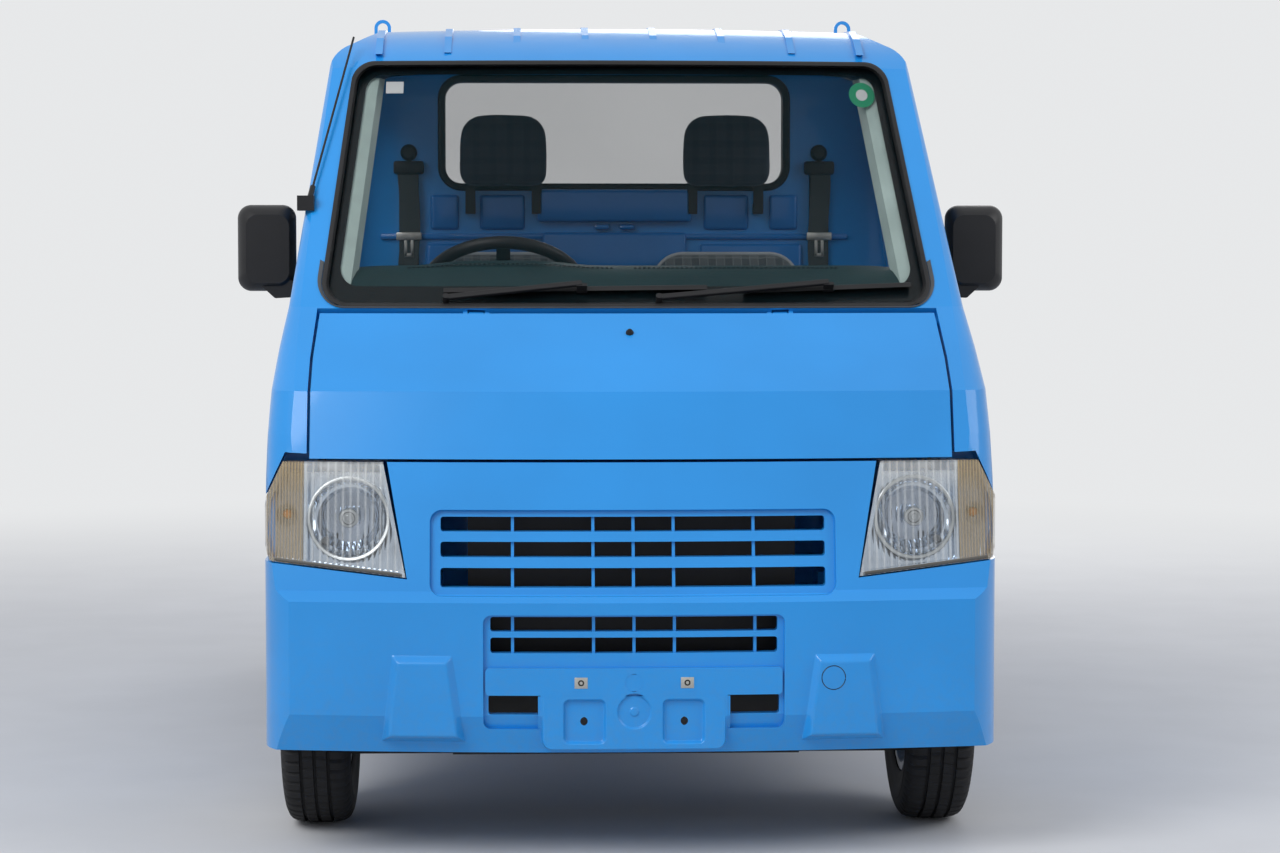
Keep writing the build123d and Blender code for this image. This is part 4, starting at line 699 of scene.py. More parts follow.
# Middle x and z, radius
TOW_COVER = (0.395, 0.375, 0.0236)
CLIP_X = 0.105
CLIP_Z = 0.367
CLIP_SOCKET = [(0.0034, 0.006), (0.0034, 0.0), (0.0060, 0.0), (0.0064, 0.006)]
BOLT_HEAD = [(0.0, 0.0), (0.0068, 0.0002), (0.0075, 0.002), (0.0075, 0.006)]
BOLT_WASHER = [(0.0, 0.0045), (0.012, 0.0045), (0.0125, 0.0062)]
NOZZLE = (0.0, 1.050)
NOZZLE_DOME = [(0.0, 0.011), (0.0045, 0.010), (0.0075, 0.006), (0.0085, 0.0)]
POCKET_BOLT = [(0.0, -0.0012), (0.0040, -0.0010), (0.0048, 0.0), (0.0085, 0.0002), (0.0090, 0.0008)]


def tuck(z):
    """How far the bumper's lower edge is tucked in at a height."""
    return max(0.0, TUCK_TOP - z) * TUCK_SLOPE


def make_bracket():
    """Lower face of the plate bracket, upright over the tucked-in edge, with two pockets and a dish."""
    rows = []
    for z in spread(0.226, 0.3405, 84):
        row = []
        for x in spread(-0.190, 0.190, 261):
            share = ease(distance_inside_rounded(x, min(z, 0.300), *BRACKET) / BRACKET_EDGE)
            front = max(bow(x) - 0.0005, 0.00005)
            for pocket in POCKETS:
                front += POCKET_DEPTH * ease(distance_inside_rounded(x, z, *pocket) / POCKET_SLOPE)
            reach = DISH_R - math.hypot(x, z - DISH_Z)
            front += 0.0045 * ease(reach / 0.003) - 0.0025 * ease((reach - 0.0245) / 0.002)
            back = bow(x) + tuck(z) + SUNK
            row.append((x, at(back + (front - back) * share), z))
        rows.append(row)
    Shape().grid(rows).finish("plate_bracket", "body", angle=60, normals=False)

    bolts = Shape()
    for x, z, _, _, _ in POCKETS:
        bolts.lathe(POCKET_BOLT, (x, at(bow(x) + 0.0081), z), BACKWARDS, 24)
    bolts.finish("bracket_bolts", "band", slot="steel")


def make_bulges():
    """Blank bulges of the bumper's lower corners with their long soft slopes, and a black line painted as the
    shade in the tow cover's gap.
    """
    rows = []
    for z in spread(0.232, 0.432, 101):
        row = []
        for x in spread(0.322, 0.514, 97):
            share = ease(distance_inside(BULGE, x, z) / BULGE_SLOPE)
            station = bow(x) + (tuck(z) + SUNK) * (1 - share) - BULGE_PROUD * share
            row.append((x, at(max(station, 0.0002)), z))
        rows.append(row)
    bulges = Shape().grid(rows).mirror_x().finish("bumper_bulges", "body", angle=60, normals=False)
    face = tree_of(bulges)
    path = [on_front(face, x, z, -0.0001) for x, z in circle(*TOW_COVER, 48)]
    # black line on the bulge: painted shade of the tow cover's gap
    Shape().tube(path, 0.0009, 6, closed=True).finish("tow_cover_gap_shadow_line", "band")


def make_clips_and_nozzle():
    """The plate's clip nuts and middle bolt, and the washer nozzle on the lid."""
    clips = Shape()
    y = at(0.0018)
    for x in (-CLIP_X, CLIP_X):
        clips.box((x - 0.013, y - 0.0016, CLIP_Z - 0.011), (x + 0.013, y + 0.0002, CLIP_Z + 0.011), 0.0006)
        clips.lathe(CLIP_SOCKET, (x, y - 0.0016, CLIP_Z), BACKWARDS, 20)
    clips.lathe(BOLT_HEAD, (0, at(0.010), CLIP_Z), BACKWARDS, 6)
    clips.lathe(BOLT_WASHER, (0, at(0.0098), CLIP_Z), BACKWARDS, 24)
    clips.finish("clip_nuts", "zinc")

    place = on_front(node_tree("bonnet"), *NOZZLE, -0.002)
    nozzle = Shape()
    nozzle.lathe(NOZZLE_DOME, place, (0, -0.62, 0.78), 20)
    nozzle.box(place + Vector((-0.004, -0.0095, 0.004)), place + Vector((0.004, -0.004, 0.0095)), 0.001)
    nozzle.finish("washer_nozzle", "black_plastic", body="bonnet")


# Wheels: tyres with tread in place of the plain CAD ones, nuts, dust caps and valves
TYRE_R = 0.271
WHEELS = [
    # place, centre x, station
    ("front_left", 0.650, FRONT_AXLE),
    ("front_right", -0.650, FRONT_AXLE),
    ("rear_left", 0.645, REAR_AXLE),
    ("rear_right", -0.645, REAR_AXLE),
]
HALF_TYRE = [
    # offset from the middle, radius, share of the cross grooves' depth
    (0.0600, 0.1700, 0), (0.0640, 0.1760, 0), (0.0665, 0.1900, 0), (0.0662, 0.1930, 0),
    (0.0700, 0.2040, 0), (0.0722, 0.2180, 0), (0.0720, 0.2290, 0), (0.0712, 0.2300, 0),
    (0.0705, 0.2380, 0), (0.0690, 0.2450, 0.2), (0.0665, 0.2510, 0.8), (0.0628, 0.2580, 1),
    (0.0580, 0.2630, 1), (0.0500, 0.2668, 1), (0.0400, 0.2690, 1), (0.0318, 0.2700, 1),
    (0.0308, 0.2630, 0), (0.0252, 0.2630, 0), (0.0242, 0.2706, 0.55), (0.0140, 0.2708, 0.55),
    (0.0038, 0.2709, 0.55), (0.0028, 0.2635, 0),
]
TYRE_PROFILE = HALF_TYRE + [(-offset, radius, share) for offset, radius, share in reversed(HALF_TYRE)]
TREAD_STEPS = 320
TREAD_RIB = 0.030
TREAD_SWEEP = 1.8 / 0.07
GROOVE_EVERY = 5
GROOVE_DEPTH = 0.0060
NUT_CIRCLE = 0.050
WHEEL_NUT = [
    (0.0130, 0.0), (0.0125, 0.003), (0.0102, 0.0035), (0.0102, 0.014), (0.0080, 0.017), (0.0, 0.018),
]
DUST_CAP = [
    (0.0300, 0.0), (0.0300, 0.004), (0.0270, 0.0055), (0.0265, 0.016), (0.0225, 0.021), (0.0, 0.0225),
]


def make_tyre(place, x, side, y):
    """Tyre with three round grooves and cross grooves that lag from rib to rib."""
    rows = []
    for i in range(TREAD_STEPS):
        row = []
        for offset, radius, share in TYRE_PROFILE:
            lag = 2 if abs(offset) < TREAD_RIB else (0 if offset > 0 else 1)
            r = radius - (GROOVE_DEPTH * share if (i + lag) % GROOVE_EVERY == 0 else 0.0)
            angle = 2 * math.pi * (i + TREAD_SWEEP * abs(offset)) / TREAD_STEPS
            row.append((x + side * offset, y + r * math.cos(angle), TYRE_R + r * math.sin(angle)))
        rows.append(row)
    tyre = Shape().grid(rows, wrap_rows=True)
    tyre = tyre.finish(f"tyre_tread_{place}", "tyre", f"wheel_{place}", angle=32)
    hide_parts(f"tyre_{place}")


def make_wheels():
    """Tyres, wheel nuts, dust caps and valves."""
    for place, x, station in WHEELS:
        side = 1 if x > 0 else -1
        body = f"wheel_{place}"
        y = at(station)
        make_tyre(place, x, side, y)
        nuts = Shape()
        for i in range(4):
            angle = math.radians(45 + 90 * i)
            dy, dz = NUT_CIRCLE * math.cos(angle), NUT_CIRCLE * math.sin(angle)
            nuts.lathe(WHEEL_NUT, (x + side * 0.0222, y + dy, TYRE_R + dz), (side, 0, 0), 6)
        nuts.finish(f"wheel_nuts_{place}", "zinc", body, angle=25)
        cap = Shape().lathe(DUST_CAP, (x + side * 0.0225, y, TYRE_R), (side, 0, 0))
        cap.finish(f"dust_cap_{place}", "zinc", body)
        root = Vector((x + side * 0.036, y, TYRE_R - 0.147))
        stem = path_from(root, (0, 0, 0), (side * 0.012, 0, 0.010), (side * 0.020, 0, 0.022))
        Shape().tube(stem, 0.0035).finish(f"valve_{place}", "rubber", body)


# Dashboard
DRIVER_X = -0.261
HOOD_HEIGHT = 0.012
HOOD_HALF = 0.15
DASH_HALF = 0.626
PAD = [
    # station, height
    (0.386, 1.1150), (0.390, 1.1240), (0.402, 1.1360), (0.450, 1.1620), (0.500, 1.1780), (0.550, 1.1850),
    (0.590, 1.1865), (0.618, 1.1820), (0.636, 1.1700), (0.646, 1.1500), (0.652, 1.1200), (0.656, 1.0850),
]
PAD_FOOT = 1.095
VENT_PLACES = (-0.50, -0.02, 0.13, 0.52)
# Offset from the column's middle, radius
GAUGES = ((0.0, 0.042), (-0.074, 0.022), (0.071, 0.022))


def hood(x):
    """Rise of the pad over the gauges."""
    return HOOD_HEIGHT * math.exp(-(((x - DRIVER_X) / HOOD_HALF) ** 4))


def make_dash_pad():
    """Padded top of the dash with its hood and two rows of defroster slots."""
    rows = []
    for x in spread(-DASH_HALF, DASH_HALF, 49):
        drop = 0.010 * max(0.0, (abs(x) - 0.50) / 0.126) ** 2
        row = []
        for share, (station, z) in zip(spread(0.0, 1.0, len(PAD)), PAD):
            raised = hood(x) * max(0.0, 1 - abs(share - 0.58) / 0.34)
            row.append((x, at(station + bow(x) * (1 - 0.6 * share)), z - drop + raised))
        rows.append(row)
    pad = Shape().grid(rows)
    for end in (rows[0], rows[-1]):
        pad.grid([end, [(x, y, min(z, PAD_FOOT)) for x, y, z in end]])
    pad.finish("dash_pad", "dash_pad", angle=50)

    slots = Shape()
    for start in (-0.46, 0.02):
        for x in spread(start, start + 0.43, 44):
            place = Vector((x, at(0.520 + bow(x) * 0.8), 1.1815 + hood(x) * 0.72))
            slots.box(place - Vector((0.0032, 0.006, 0.001)), place + Vector((0.0032, 0.006, 0.0012)), 0.0008)
    slots.finish("defroster_slots", "band")


def make_dash_face():
    """Vents with their blades, the control panel with two knobs, and the glove box lid."""
    face = Shape()
    for x in VENT_PLACES:
        face.box((x - 0.050, at(0.663), 1.000), (x + 0.050, at(0.676), 1.056), 0.005)
        for z in spread(1.008, 1.048, 5):
            face.box((x - 0.043, at(0.673), z - 0.001), (x + 0.043, at(0.680), z + 0.0012), 0.0005)
    face.box((-0.070, at(0.660), 0.915), (0.150, at(0.674), 0.985), 0.004)
    face.box((-0.055, at(0.672), 0.925), (0.135, at(0.677), 0.975), 0.003)
    for x in (-0.035, 0.115):
        face.lathe([(0.011, 0.0), (0.010, 0.012), (0.0, 0.013)], (x, at(0.676), 0.950), BACKWARDS, 24)
    face.box((0.250, at(0.655), 0.905), (0.590, at(0.670), 1.030), 0.006)
    face.finish("dash_vents", "dash_plastic")


def make_gauges():
    """Gauge cluster with three blank rings, and the column's two stalks."""
    cluster = Shape()
    cluster.box((-0.375, at(0.630), 1.045), (-0.147, at(0.662), 1.150), 0.012)
    for offset, r in GAUGES:
        rim = [(r, 0.0), (r + 0.002, 0.004), (r - 0.002, 0.005), (r - 0.004, 0.001), (0.0, 0.0005)]
        cluster.lathe(rim, (DRIVER_X + offset, at(0.662), 1.098), BACKWARDS, 36)
    cluster.finish("gauge_cluster", "black_plastic")

    stalks = Shape()
    for side in (-1, 1):
        base = Vector((DRIVER_X + side * 0.030, at(0.700), 1.105))
        arm = path_from(base, (0, 0, 0), (side * 0.060, 0.004, 0.012), (side * 0.140, 0.010, 0.028))
        stalks.tube(arm, 0.0062, 10)
        knob = path_from(base, (side * 0.130, 0.011, 0.026), (side * 0.168, 0.011, 0.034))
        stalks.tube(knob, 0.0095, 12)
    stalks.finish("column_stalks", "black_plastic")


# Rear wall of the cab, seat belts, roof lining and visors
WALL_Y = at(1.360)
PRESSINGS = [
    # x from and to, heights, how far it stands out; those off the middle are on both sides
    (-0.185, 0.185, 1.287, 1.364, 0.030),
    (-0.172, 0.172, 1.120, 1.262, 0.018),
    (-0.190, 0.190, 0.840, 1.075, 0.016),
    (0.214, 0.322, 1.268, 1.352, 0.009),
    (0.372, 0.440, 1.268, 1.352, 0.009),
    (0.205, 0.450, 1.085, 1.235, 0.014),
]
BELT_X = 0.491
BELT_GUIDE_Z = 1.418
BELT_HALF = 0.0235
BELT_T = 0.0008
TONGUE_BARS = [
    # x from and to, heights
    (-0.011, -0.004, 1.205, 1.246), (0.004, 0.011, 1.205, 1.246), (-0.011, 0.011, 1.203, 1.212),
]
BUTTON = [(0.0, 0.008), (0.013, 0.007), (0.020, 0.0), (0.020, -0.012)]
ROOF = [(0.905, 1.618), (0.960, 1.650), (1.060, 1.668), (1.170, 1.674), (1.290, 1.668), (1.352, 1.652)]


def make_pressings():
    """Pressed panels, clips and rail of the cab's rear wall, in a darker copy of the body paint that is
    painted shade.
    """
    wall = Shape()
    for x0, x1, z0, z1, proud in PRESSINGS:
        for side in (1, -1) if x0 > 0 else (1,):
            first, second = (side * x0, WALL_Y - proud, z0), (side * x1, WALL_Y + 0.010, z1)
            wall.box(first, second, 0.0085, segments=3)
    for x in (-0.030, 0.030):
        wall.box((x - 0.018, WALL_Y - 0.022, 1.268), (x + 0.018, WALL_Y, 1.281), 0.006)
    wall.box((-0.560, WALL_Y - 0.010, 1.245), (0.560, WALL_Y + 0.010, 1.259), 0.005)
    wall.finish("bulkhead_pressings", "body_shaded_inside")


def make_belts():
    """Both belts' straps, guides, reels and tongues at the rear wall."""
    straps, fittings, tongues = Shape(), Shape(), Shape()
    for side in (-1, 1):
        x = side * BELT_X
        for offset, low in ((0.008, 0.640), (0.0165, 0.905)):
            rows = []
            for k, z in enumerate(spread(BELT_GUIDE_Z - 0.012, low, 25)):
                sway = 0.004 * math.sin(k * 0.45 + side) * (offset > 0.01)
                left, right = x + sway - BELT_HALF, x + sway + BELT_HALF
                front, back = WALL_Y - offset - BELT_T, WALL_Y - offset + BELT_T
                rows.append([(left, front, z), (right, front, z), (right, back, z), (left, back, z)])
            straps.loops(rows, caps=True)
        top, foot = BELT_GUIDE_Z + 0.014, BELT_GUIDE_Z - 0.018
        fittings.box((x - 0.036, WALL_Y - 0.024, foot), (x + 0.036, WALL_Y + 0.002, top), 0.006)
        fittings.lathe(BUTTON, (x, WALL_Y - 0.004, BELT_GUIDE_Z + 0.034), (0, -1, 0), 24)
        fittings.box((x - 0.045, WALL_Y - 0.060, 0.602), (x + 0.045, WALL_Y - 0.001, 0.700), 0.010)
        tongues.box((x - 0.030, WALL_Y - 0.0215, 1.243), (x + 0.030, WALL_Y - 0.0160, 1.262), 0.002)
        for x0, x1, low, high in TONGUE_BARS:
            tongues.box((x + x0, WALL_Y - 0.0200, low), (x + x1, WALL_Y - 0.0172, high), 0.001)
    straps.finish("belt_straps", "belt")
    fittings.finish("belt_guides", "black_plastic")
    tongues.finish("belt_tongues", "zinc")


def make_headliner():
    """Pale roof lining and two folded sun visors."""
    rows = []
    for x in spread(-0.570, 0.570, 21):
        drop = 0.014 * (x / HALF_WIDTH) ** 2 + 0.020 * max(0.0, (abs(x) - 0.48) / 0.09) ** 2
        rows.append([(x, at(station + bow(x) * (station < 1.1)), z - drop) for station, z in ROOF])
    Shape().grid(rows).finish("roof_lining", "lining")
    visors = Shape()
    turn = Matrix.Rotation(math.radians(22), 3, "X")
    hinge = (0, at(0.945), 1.635)
    for side in (-1, 1):
        visors.box((side * 0.095, at(0.945), 1.628), (side * 0.470, at(1.085), 1.642), 0.006, turn, hinge)
    visors.finish("sun_visors", "lining")


# Seats and headrests: closed forms swollen as cloth within the solids they stand for
VOXEL = 0.008
CLOTH_STEPS = 20
CLOTH = {
    "quality": 5, "mass": 0.3, "tension_stiffness": 12, "compression_stiffness": 12, "shear_stiffness": 6,
    "bending_stiffness": 0.8, "use_pressure": True, "uniform_pressure_force": 4,
}
SEAT_BACK = [(0.072, 0.776), (0.458, 0.776), (0.452, 1.226), (0.078, 1.226)]
SEAT_CUSHION = [(0.058, at(0.828)), (0.472, at(0.828)), (0.472, at(1.284)), (0.058, at(1.284))]
HEADREST = [(0.161, 1.370), (0.369, 1.370), (0.366, 1.539), (0.164, 1.539)]


def ring(corners, radii, inset, depth_of, flat):
    """Loop inset in an outline, at the depth that depth_of gives; flat lays it level."""
    loop = rounded(shrink(corners, inset), [max(r - inset, 0.010) for r in radii], arc=6, straight=10)
    if flat:
        return [Vector((p.x, p.y, depth_of(p.x, p.y))) for p in loop]
    return [Vector((p.x, depth_of(p.x, p.y), p.y)) for p in loop]


def take_evaluated(made):
    """Replaces an object's mesh by its evaluated one and drops its modifiers."""
    bpy.context.view_layer.update()
    graph = bpy.context.evaluated_depsgraph_get()
    data = bpy.data.meshes.new_from_object(made.evaluated_get(graph))
    made.modifiers.clear()
    made.data = data


def blow_up(made):
    """Runs the cloth simulation with a light pressure from inside."""
    modifier = made.modifiers.new("cloth", "CLOTH")
    for key, value in CLOTH.items():
        setattr(modifier.settings, key, value)
    modifier.settings.effector_weights.gravity = 0
    modifier.collision_settings.use_collision = False
    modifier.point_cache.frame_start = 1
    modifier.point_cache.frame_end = CLOTH_STEPS
    for step in range(1, CLOTH_STEPS + 1):
        bpy.context.scene.frame_set(step)
    take_evaluated(made)
    bpy.context.scene.frame_set(1)


def swell(rows, name, cap, low, high):
    """Pair of closed forms, remeshed, swollen by at most cap and kept between two corners."""
    shape = Shape().loops(rows, caps=True).mirror_x()
    bmesh.ops.recalc_face_normals(shape.mesh, faces=shape.mesh.faces[:])
    made = shape.link(name)
    remesh = made.modifiers.new("remesh", "REMESH")
    remesh.mode = "VOXEL"
    remesh.voxel_size = VOXEL
    take_evaluated(made)
    smooth = made.modifiers.new("smooth", "SMOOTH")
    smooth.factor = 0.5
    smooth.iterations = 6
    take_evaluated(made)
    before = [v.co.copy() for v in made.data.vertices]
    blow_up(made)
    for vert, start in zip(made.data.vertices, before):
        moved = vert.co - start
        if moved.length > cap:
            moved = moved.normalized() * cap
        place = start + moved
        side = -1 if place.x < 0 else 1
        x = side * clamp(abs(place.x), low[0], high[0])
        vert.co = (x, clamp(place.y, low[1], high[1]), clamp(place.z, low[2], high[2]))
    made.modifiers.new("divide", "SUBSURF").levels = 1
    take_evaluated(made)
    for polygon in made.data.polygons:
        polygon.use_smooth = True
    return made


def cover(made, look, node):
    """Gives a swollen pair its look, rides it on the root and hides the CAD node it stands for."""
    made.data.materials.append(LOOKS[look][1])
    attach(made, "root")
    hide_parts(node)


def make_seat_backs():
    """Both seat backs, a little thicker at the foot."""
    def front(x, z):
        return at(1.232 + (z - 0.770) * 0.140)

    def rear(x, z):
        return at(min(1.330 + (z - 0.770) * 0.070, 1.357) - 0.004)

    radii = [0.040, 0.040, 0.085, 0.085]
    rings = (
        (0.030, rear),
        (0.004, lambda x, z: rear(x, z) - 0.012),
        (0.0, lambda x, z: (rear(x, z) + front(x, z)) / 2),
        (0.004, lambda x, z: front(x, z) + 0.014),
        (0.030, front),
    )
    rows = [ring(SEAT_BACK, radii, inset, depth, False) for inset, depth in rings]
    backs = swell(rows, "seat_back_pads", 0.012, (0.066, at(1.226), 0.772), (0.464, at(1.3590), 1.236))
    cover(backs, "seat", "seat_backs")
    return backs


def make_cushions():
    """Both cushions, falling a little towards the back."""
    def top(x, y):
        station = y + LENGTH / 2
        return 0.786 - 0.020 * clamp((station - 0.88) / 0.33, 0, 1)

    radii = [0.060, 0.060, 0.045, 0.045]
    rings = (
        (0.034, lambda x, y: 0.604),
        (0.008, lambda x, y: 0.616),
        (0.0, lambda x, y: 0.690),
        (0.006, lambda x, y: top(x, y) - 0.026),
        (0.034, top),
    )
    rows = [ring(SEAT_CUSHION, radii, inset, depth, True) for inset, depth in rings]
    cushions = swell(rows, "seat_cushion_pads", 0.014, (0.051, at(0.821), 0.6008), (0.479, at(1.289), 0.790))
    cover(cushions, "seat", "seat_cushions")
    return cushions


def make_headrests():
    """Both headrests in their darker cloth."""
    radii = [0.030, 0.030, 0.052, 0.052]
    rows = []
    for inset, station in ((0.016, 1.325), (0.0, 1.312), (0.0, 1.290), (0.016, 1.276)):
        rows.append(ring(HEADREST, radii, inset, lambda x, z: at(station), False))
    heads = swell(rows, "headrest_pads", 0.008, (0.158, at(1.2705), 1.3665), (0.372, at(1.3298), 1.5425))
    cover(heads, "seat_dark", "headrests")


def make_seats():
    """Padded pieces, then pale piping round them and a dark seam inside it."""
    backs = tree_of(make_seat_backs())
    cushions = tree_of(make_cushions())
    make_headrests()
    piping, seams = Shape(), Shape()
    for shape, radius, lift, back_inset, cushion_inset in (
        (piping, 0.0042, 0.0012, 0.016, 0.017),
        (seams, 0.0013, 0.0004, 0.078, 0.080),
    ):
        shoulder = 0.075 - back_inset * 0.4
        upright = rounded(shrink(SEAT_BACK, back_inset), [0.02, 0.02, shoulder, shoulder], 8, 16)
        level = rounded(shrink(SEAT_CUSHION, cushion_inset), [0.05, 0.05, 0.03, 0.03], 8, 16)
        for side in (-1, 1):
            path = [hit(backs, (side * p.x, at(0.9), p.y), BACKWARDS, lift) for p in upright]
            shape.tube(path, radius, closed=True)
            path = [hit(cushions, (side * p.x, p.y, 1.0), (0, 0, -1), lift) for p in level]
            shape.tube(path, radius, closed=True)
    piping.finish("seat_piping", "piping")
    seams.finish("seat_seams", "band", slot="seat")


# Doors: cards, winders and pulls inside, key cylinders and window rubbers outside; outlines of (station, z)
CARD = [(0.680, 0.640), (1.000, 0.470), (1.290, 0.455), (1.290, 1.085), (0.680, 1.085)]
WINDOW = [(0.640, 1.146), (1.276, 1.146), (1.276, 1.586), (0.985, 1.586), (0.640, 1.262)]
WINDER_KNOB = [(0.0, 0.0), (0.010, 0.001), (0.012, 0.012), (0.010, 0.024), (0.0, 0.026)]
LOCK = [
    (0.0125, -0.002), (0.0125, 0.0012), (0.0110, 0.0022), (0.0040, 0.0022), (0.0038, 0.0012), (0.0, 0.0012),
]
MIRROR = [(0.729, 1.142), (0.833, 1.142), (0.833, 1.306), (0.729, 1.306)]


def to_y(outline):
    """Outline of (station, z) as (y, z)."""
    return [(at(station), z) for station, z in outline]


def make_door_inside(side, name, x):
    """Card with its arm rest, window winder and pull, on the door's inner face at x."""
    body = f"door_{name}"
    card = Shape()
    rows = []
    for inset, lift in ((0.0, 0.001), (0.010, 0.008), (0.020, 0.010)):
        loop = rounded(shrink(to_y(CARD), inset), 0.040 - inset, arc=6, straight=8)
        rows.append([(x - side * lift, p.x, p.y) for p in loop])
    card.loops(rows, caps=True)
    card.box((x - side * 0.045, at(0.86), 0.815), (x, at(1.20), 0.855), 0.010)
    card.finish(f"door_card_{name}", "dash_plastic", body)

    winder = Shape()
    hub = Vector((x - side * 0.010, at(0.90), 0.705))
    winder.lathe([(0.022, 0.0), (0.020, 0.010), (0.0, 0.011)], hub, (-side, 0, 0), 24)
    steps = ((-side * 0.008, 0, 0), (-side * 0.015, 0.040, 0.025), (-side * 0.018, 0.080, 0.050))
    crank = path_from(hub, *steps)
    winder.tube(crank, 0.0065, 10)
    winder.lathe(WINDER_KNOB, crank[-1], (-side, 0, 0), 20)
    winder.finish(f"window_winder_{name}", "black_plastic", body)

    pull = Shape()
    pull.box((x - side * 0.012, at(1.000), 0.960), (x - side * 0.022, at(1.100), 0.985), 0.004)
    pull.box((x, at(0.988), 0.950), (x - side * 0.014, at(1.112), 0.995), 0.006)
    pull.finish(f"door_pull_{name}", "black_plastic", body)


def make_doors():
    """Inside pieces, key cylinders and window rubbers of both doors."""
    for side, name in SIDES:
        body = f"door_{name}"
        door = node_tree(body)
        make_door_inside(side, name, hit(door, (side * 0.30, at(1.10), 0.80), (side, 0, 0)).x)
        place = hit(door, (side * 2, at(1.305), 0.935), (-side, 0, 0))
        Shape().lathe(LOCK, place, (side, 0, 0), 24).finish(f"key_cylinder_{name}", "zinc", body)
        glass = node_tree(f"door_glass_{name}")
        inwards = (-side, 0, 0)
        starts = [(side * 2, p.x, p.y) for p in rounded(to_y(WINDOW), 0.020, arc=5, straight=12)]
        # A ray along the very edge of the glass can pass it by, and its point is left out
        starts = [start for start in starts if glass.ray_cast(start, inwards)[0] is not None]
        path = [hit(glass, start, inwards, 0.0016) for start in starts]
        Shape().tube(path, 0.0055, closed=True, flat=0.6).finish(f"window_rubber_{name}", "rubber", body)


def make_mirrors():
    """Mirror glass in each head, with a small bevel."""
    for side, name in SIDES:
        rows = []
        for inset, station in ((0.0, 0.8066), (0.0, 0.8078), (0.0025, 0.8086)):
            loop = rounded(shrink(MIRROR, inset), 0.020 - inset, arc=6, straight=6)
            rows.append([(side * p.x, at(station), p.y) for p in loop])
        glass = Shape().loops(rows, caps=True)
        glass.finish(f"mirror_glass_{name}", "mirror", f"door_{name}")


# Load bed and underside: latches, rope hooks, black strips of painted shade in the deck's edge gaps, lamp
# lenses, screws, straps and bolts
GATE_OUT = 0.735
LATCH_STATIONS = (1.492, 3.338)
HOOK_STATIONS = (1.72, 1.98, 2.30, 2.56, 2.88, 3.10)
SIDE_HOOK = [(-0.004, 0.032, 0.010), (0.006, 0.032, -0.006), (0.008, 0.026, -0.018)]
REAR_HOOK = [(-0.004, 0.032, 0.010), (0.006, 0.030, -0.006), (0.0075, 0.024, -0.016)]
GAP_SHADE_HEIGHTS = (0.6530, 0.6596)
TAIL_FACE = 3.374
TAIL_LENSES = [
    # name, look, x from and to
    ("amber", "amber", 0.640, 0.688),
    ("red", "lamp_red", 0.562, 0.638),
    ("white", "white_lens", 0.512, 0.560),
]
TAIL_SCREW = [(0.0045, 0.0), (0.0040, 0.0016), (0.0, 0.0020)]
PLATE_SCREW = [(0.0075, 0.0), (0.0070, 0.0030), (0.0034, 0.0032), (0.0032, 0.0010)]
SPRING_BOLT_X = (-0.488, -0.412, 0.412, 0.488)
SPRING_BOLT_STATIONS = (2.905, 2.995)
SPRING_NUT = [(0.0105, 0.0), (0.0105, 0.009), (0.0, 0.010)]
STRAP_HALF = 0.014
DRAIN_PLUG = [(0.0, 0.0), (0.010, 0.0), (0.011, 0.006), (0.0, 0.008)]


def make_latches():
    """Latch plates and levers of the side gates, and the tailgate's latch plates."""
    for side, name in SIDES:
        latches = Shape()
        for y in map(at, LATCH_STATIONS):
            out = side * GATE_OUT
            latches.box((out, y - 0.019, 0.850), (out + side * 0.0024, y + 0.019, 0.935), 0.001)
            root = Vector((side * (GATE_OUT - 0.001), y, 0.915))
            lever = path_from(root, (0, 0, 0), (side * 0.0020, 0, -0.020), (side * 0.0018, 0, -0.075))
            latches.tube(lever, 0.0065, 10, flat=0.35, up=BACKWARDS)
        latches.finish(f"gate_latches_{name}", "zinc", f"side_gate_{name}")
    tail = Shape()
    y = at(LENGTH)
    for x in (-0.690, 0.690):
        tail.box((x - 0.020, y - 0.0005, 0.845), (x + 0.020, y + 0.0018, 0.935), 0.0008)
        tail.box((x - 0.007, y + 0.0010, 0.860), (x + 0.007, y + 0.0019, 0.928), 0.0004)
    tail.finish("tailgate_latches", "zinc", "tailgate")


def hook_path(root, out, along, profile):
    """Path of a rope hook from the offsets (outwards, along, up) of its one half."""
    up = Vector((0, 0, 1))
    first = [root + out * a - along * b + up * c for a, b, c in profile]
    second = [root + out * a + along * b + up * c for a, b, c in reversed(profile)]
    return first + second


def make_hooks_and_gap_shades():
    """Rope hooks under the rails, and black rubber strips in the gaps along the deck's edges, painted shade
    where the floor would show through.
    """
    along_x, along_y = Vector((1, 0, 0)), Vector(BACKWARDS)
    hooks = Shape()
    for side in (-1, 1):
        for station in HOOK_STATIONS:
            root = Vector((side * 0.712, at(station), 0.600))
            hooks.tube(hook_path(root, side * along_x, along_y, SIDE_HOOK), 0.0042)
    for x in (-0.36, 0.36):
        hooks.tube(hook_path(Vector((x, at(3.357), 0.602)), along_y, along_x, REAR_HOOK), 0.0042)
    hooks.finish("rope_hooks", "body")

    # black strips filling the gaps by the deck's edges: painted shade in place of the floor seen through them
    low, high = GAP_SHADE_HEIGHTS
    seals_and_gap_shades = Shape()
    seals_and_gap_shades.box((-0.698, at(3.3644), low), (0.698, at(3.3686), high), 0.001)
    for side in (-1, 1):
        seals_and_gap_shades.box((side * 0.7034, at(1.480), low), (side * 0.7086, at(3.3600), high), 0.001)
    seals_and_gap_shades.finish("deck_gap_shade_strips", "rubber")


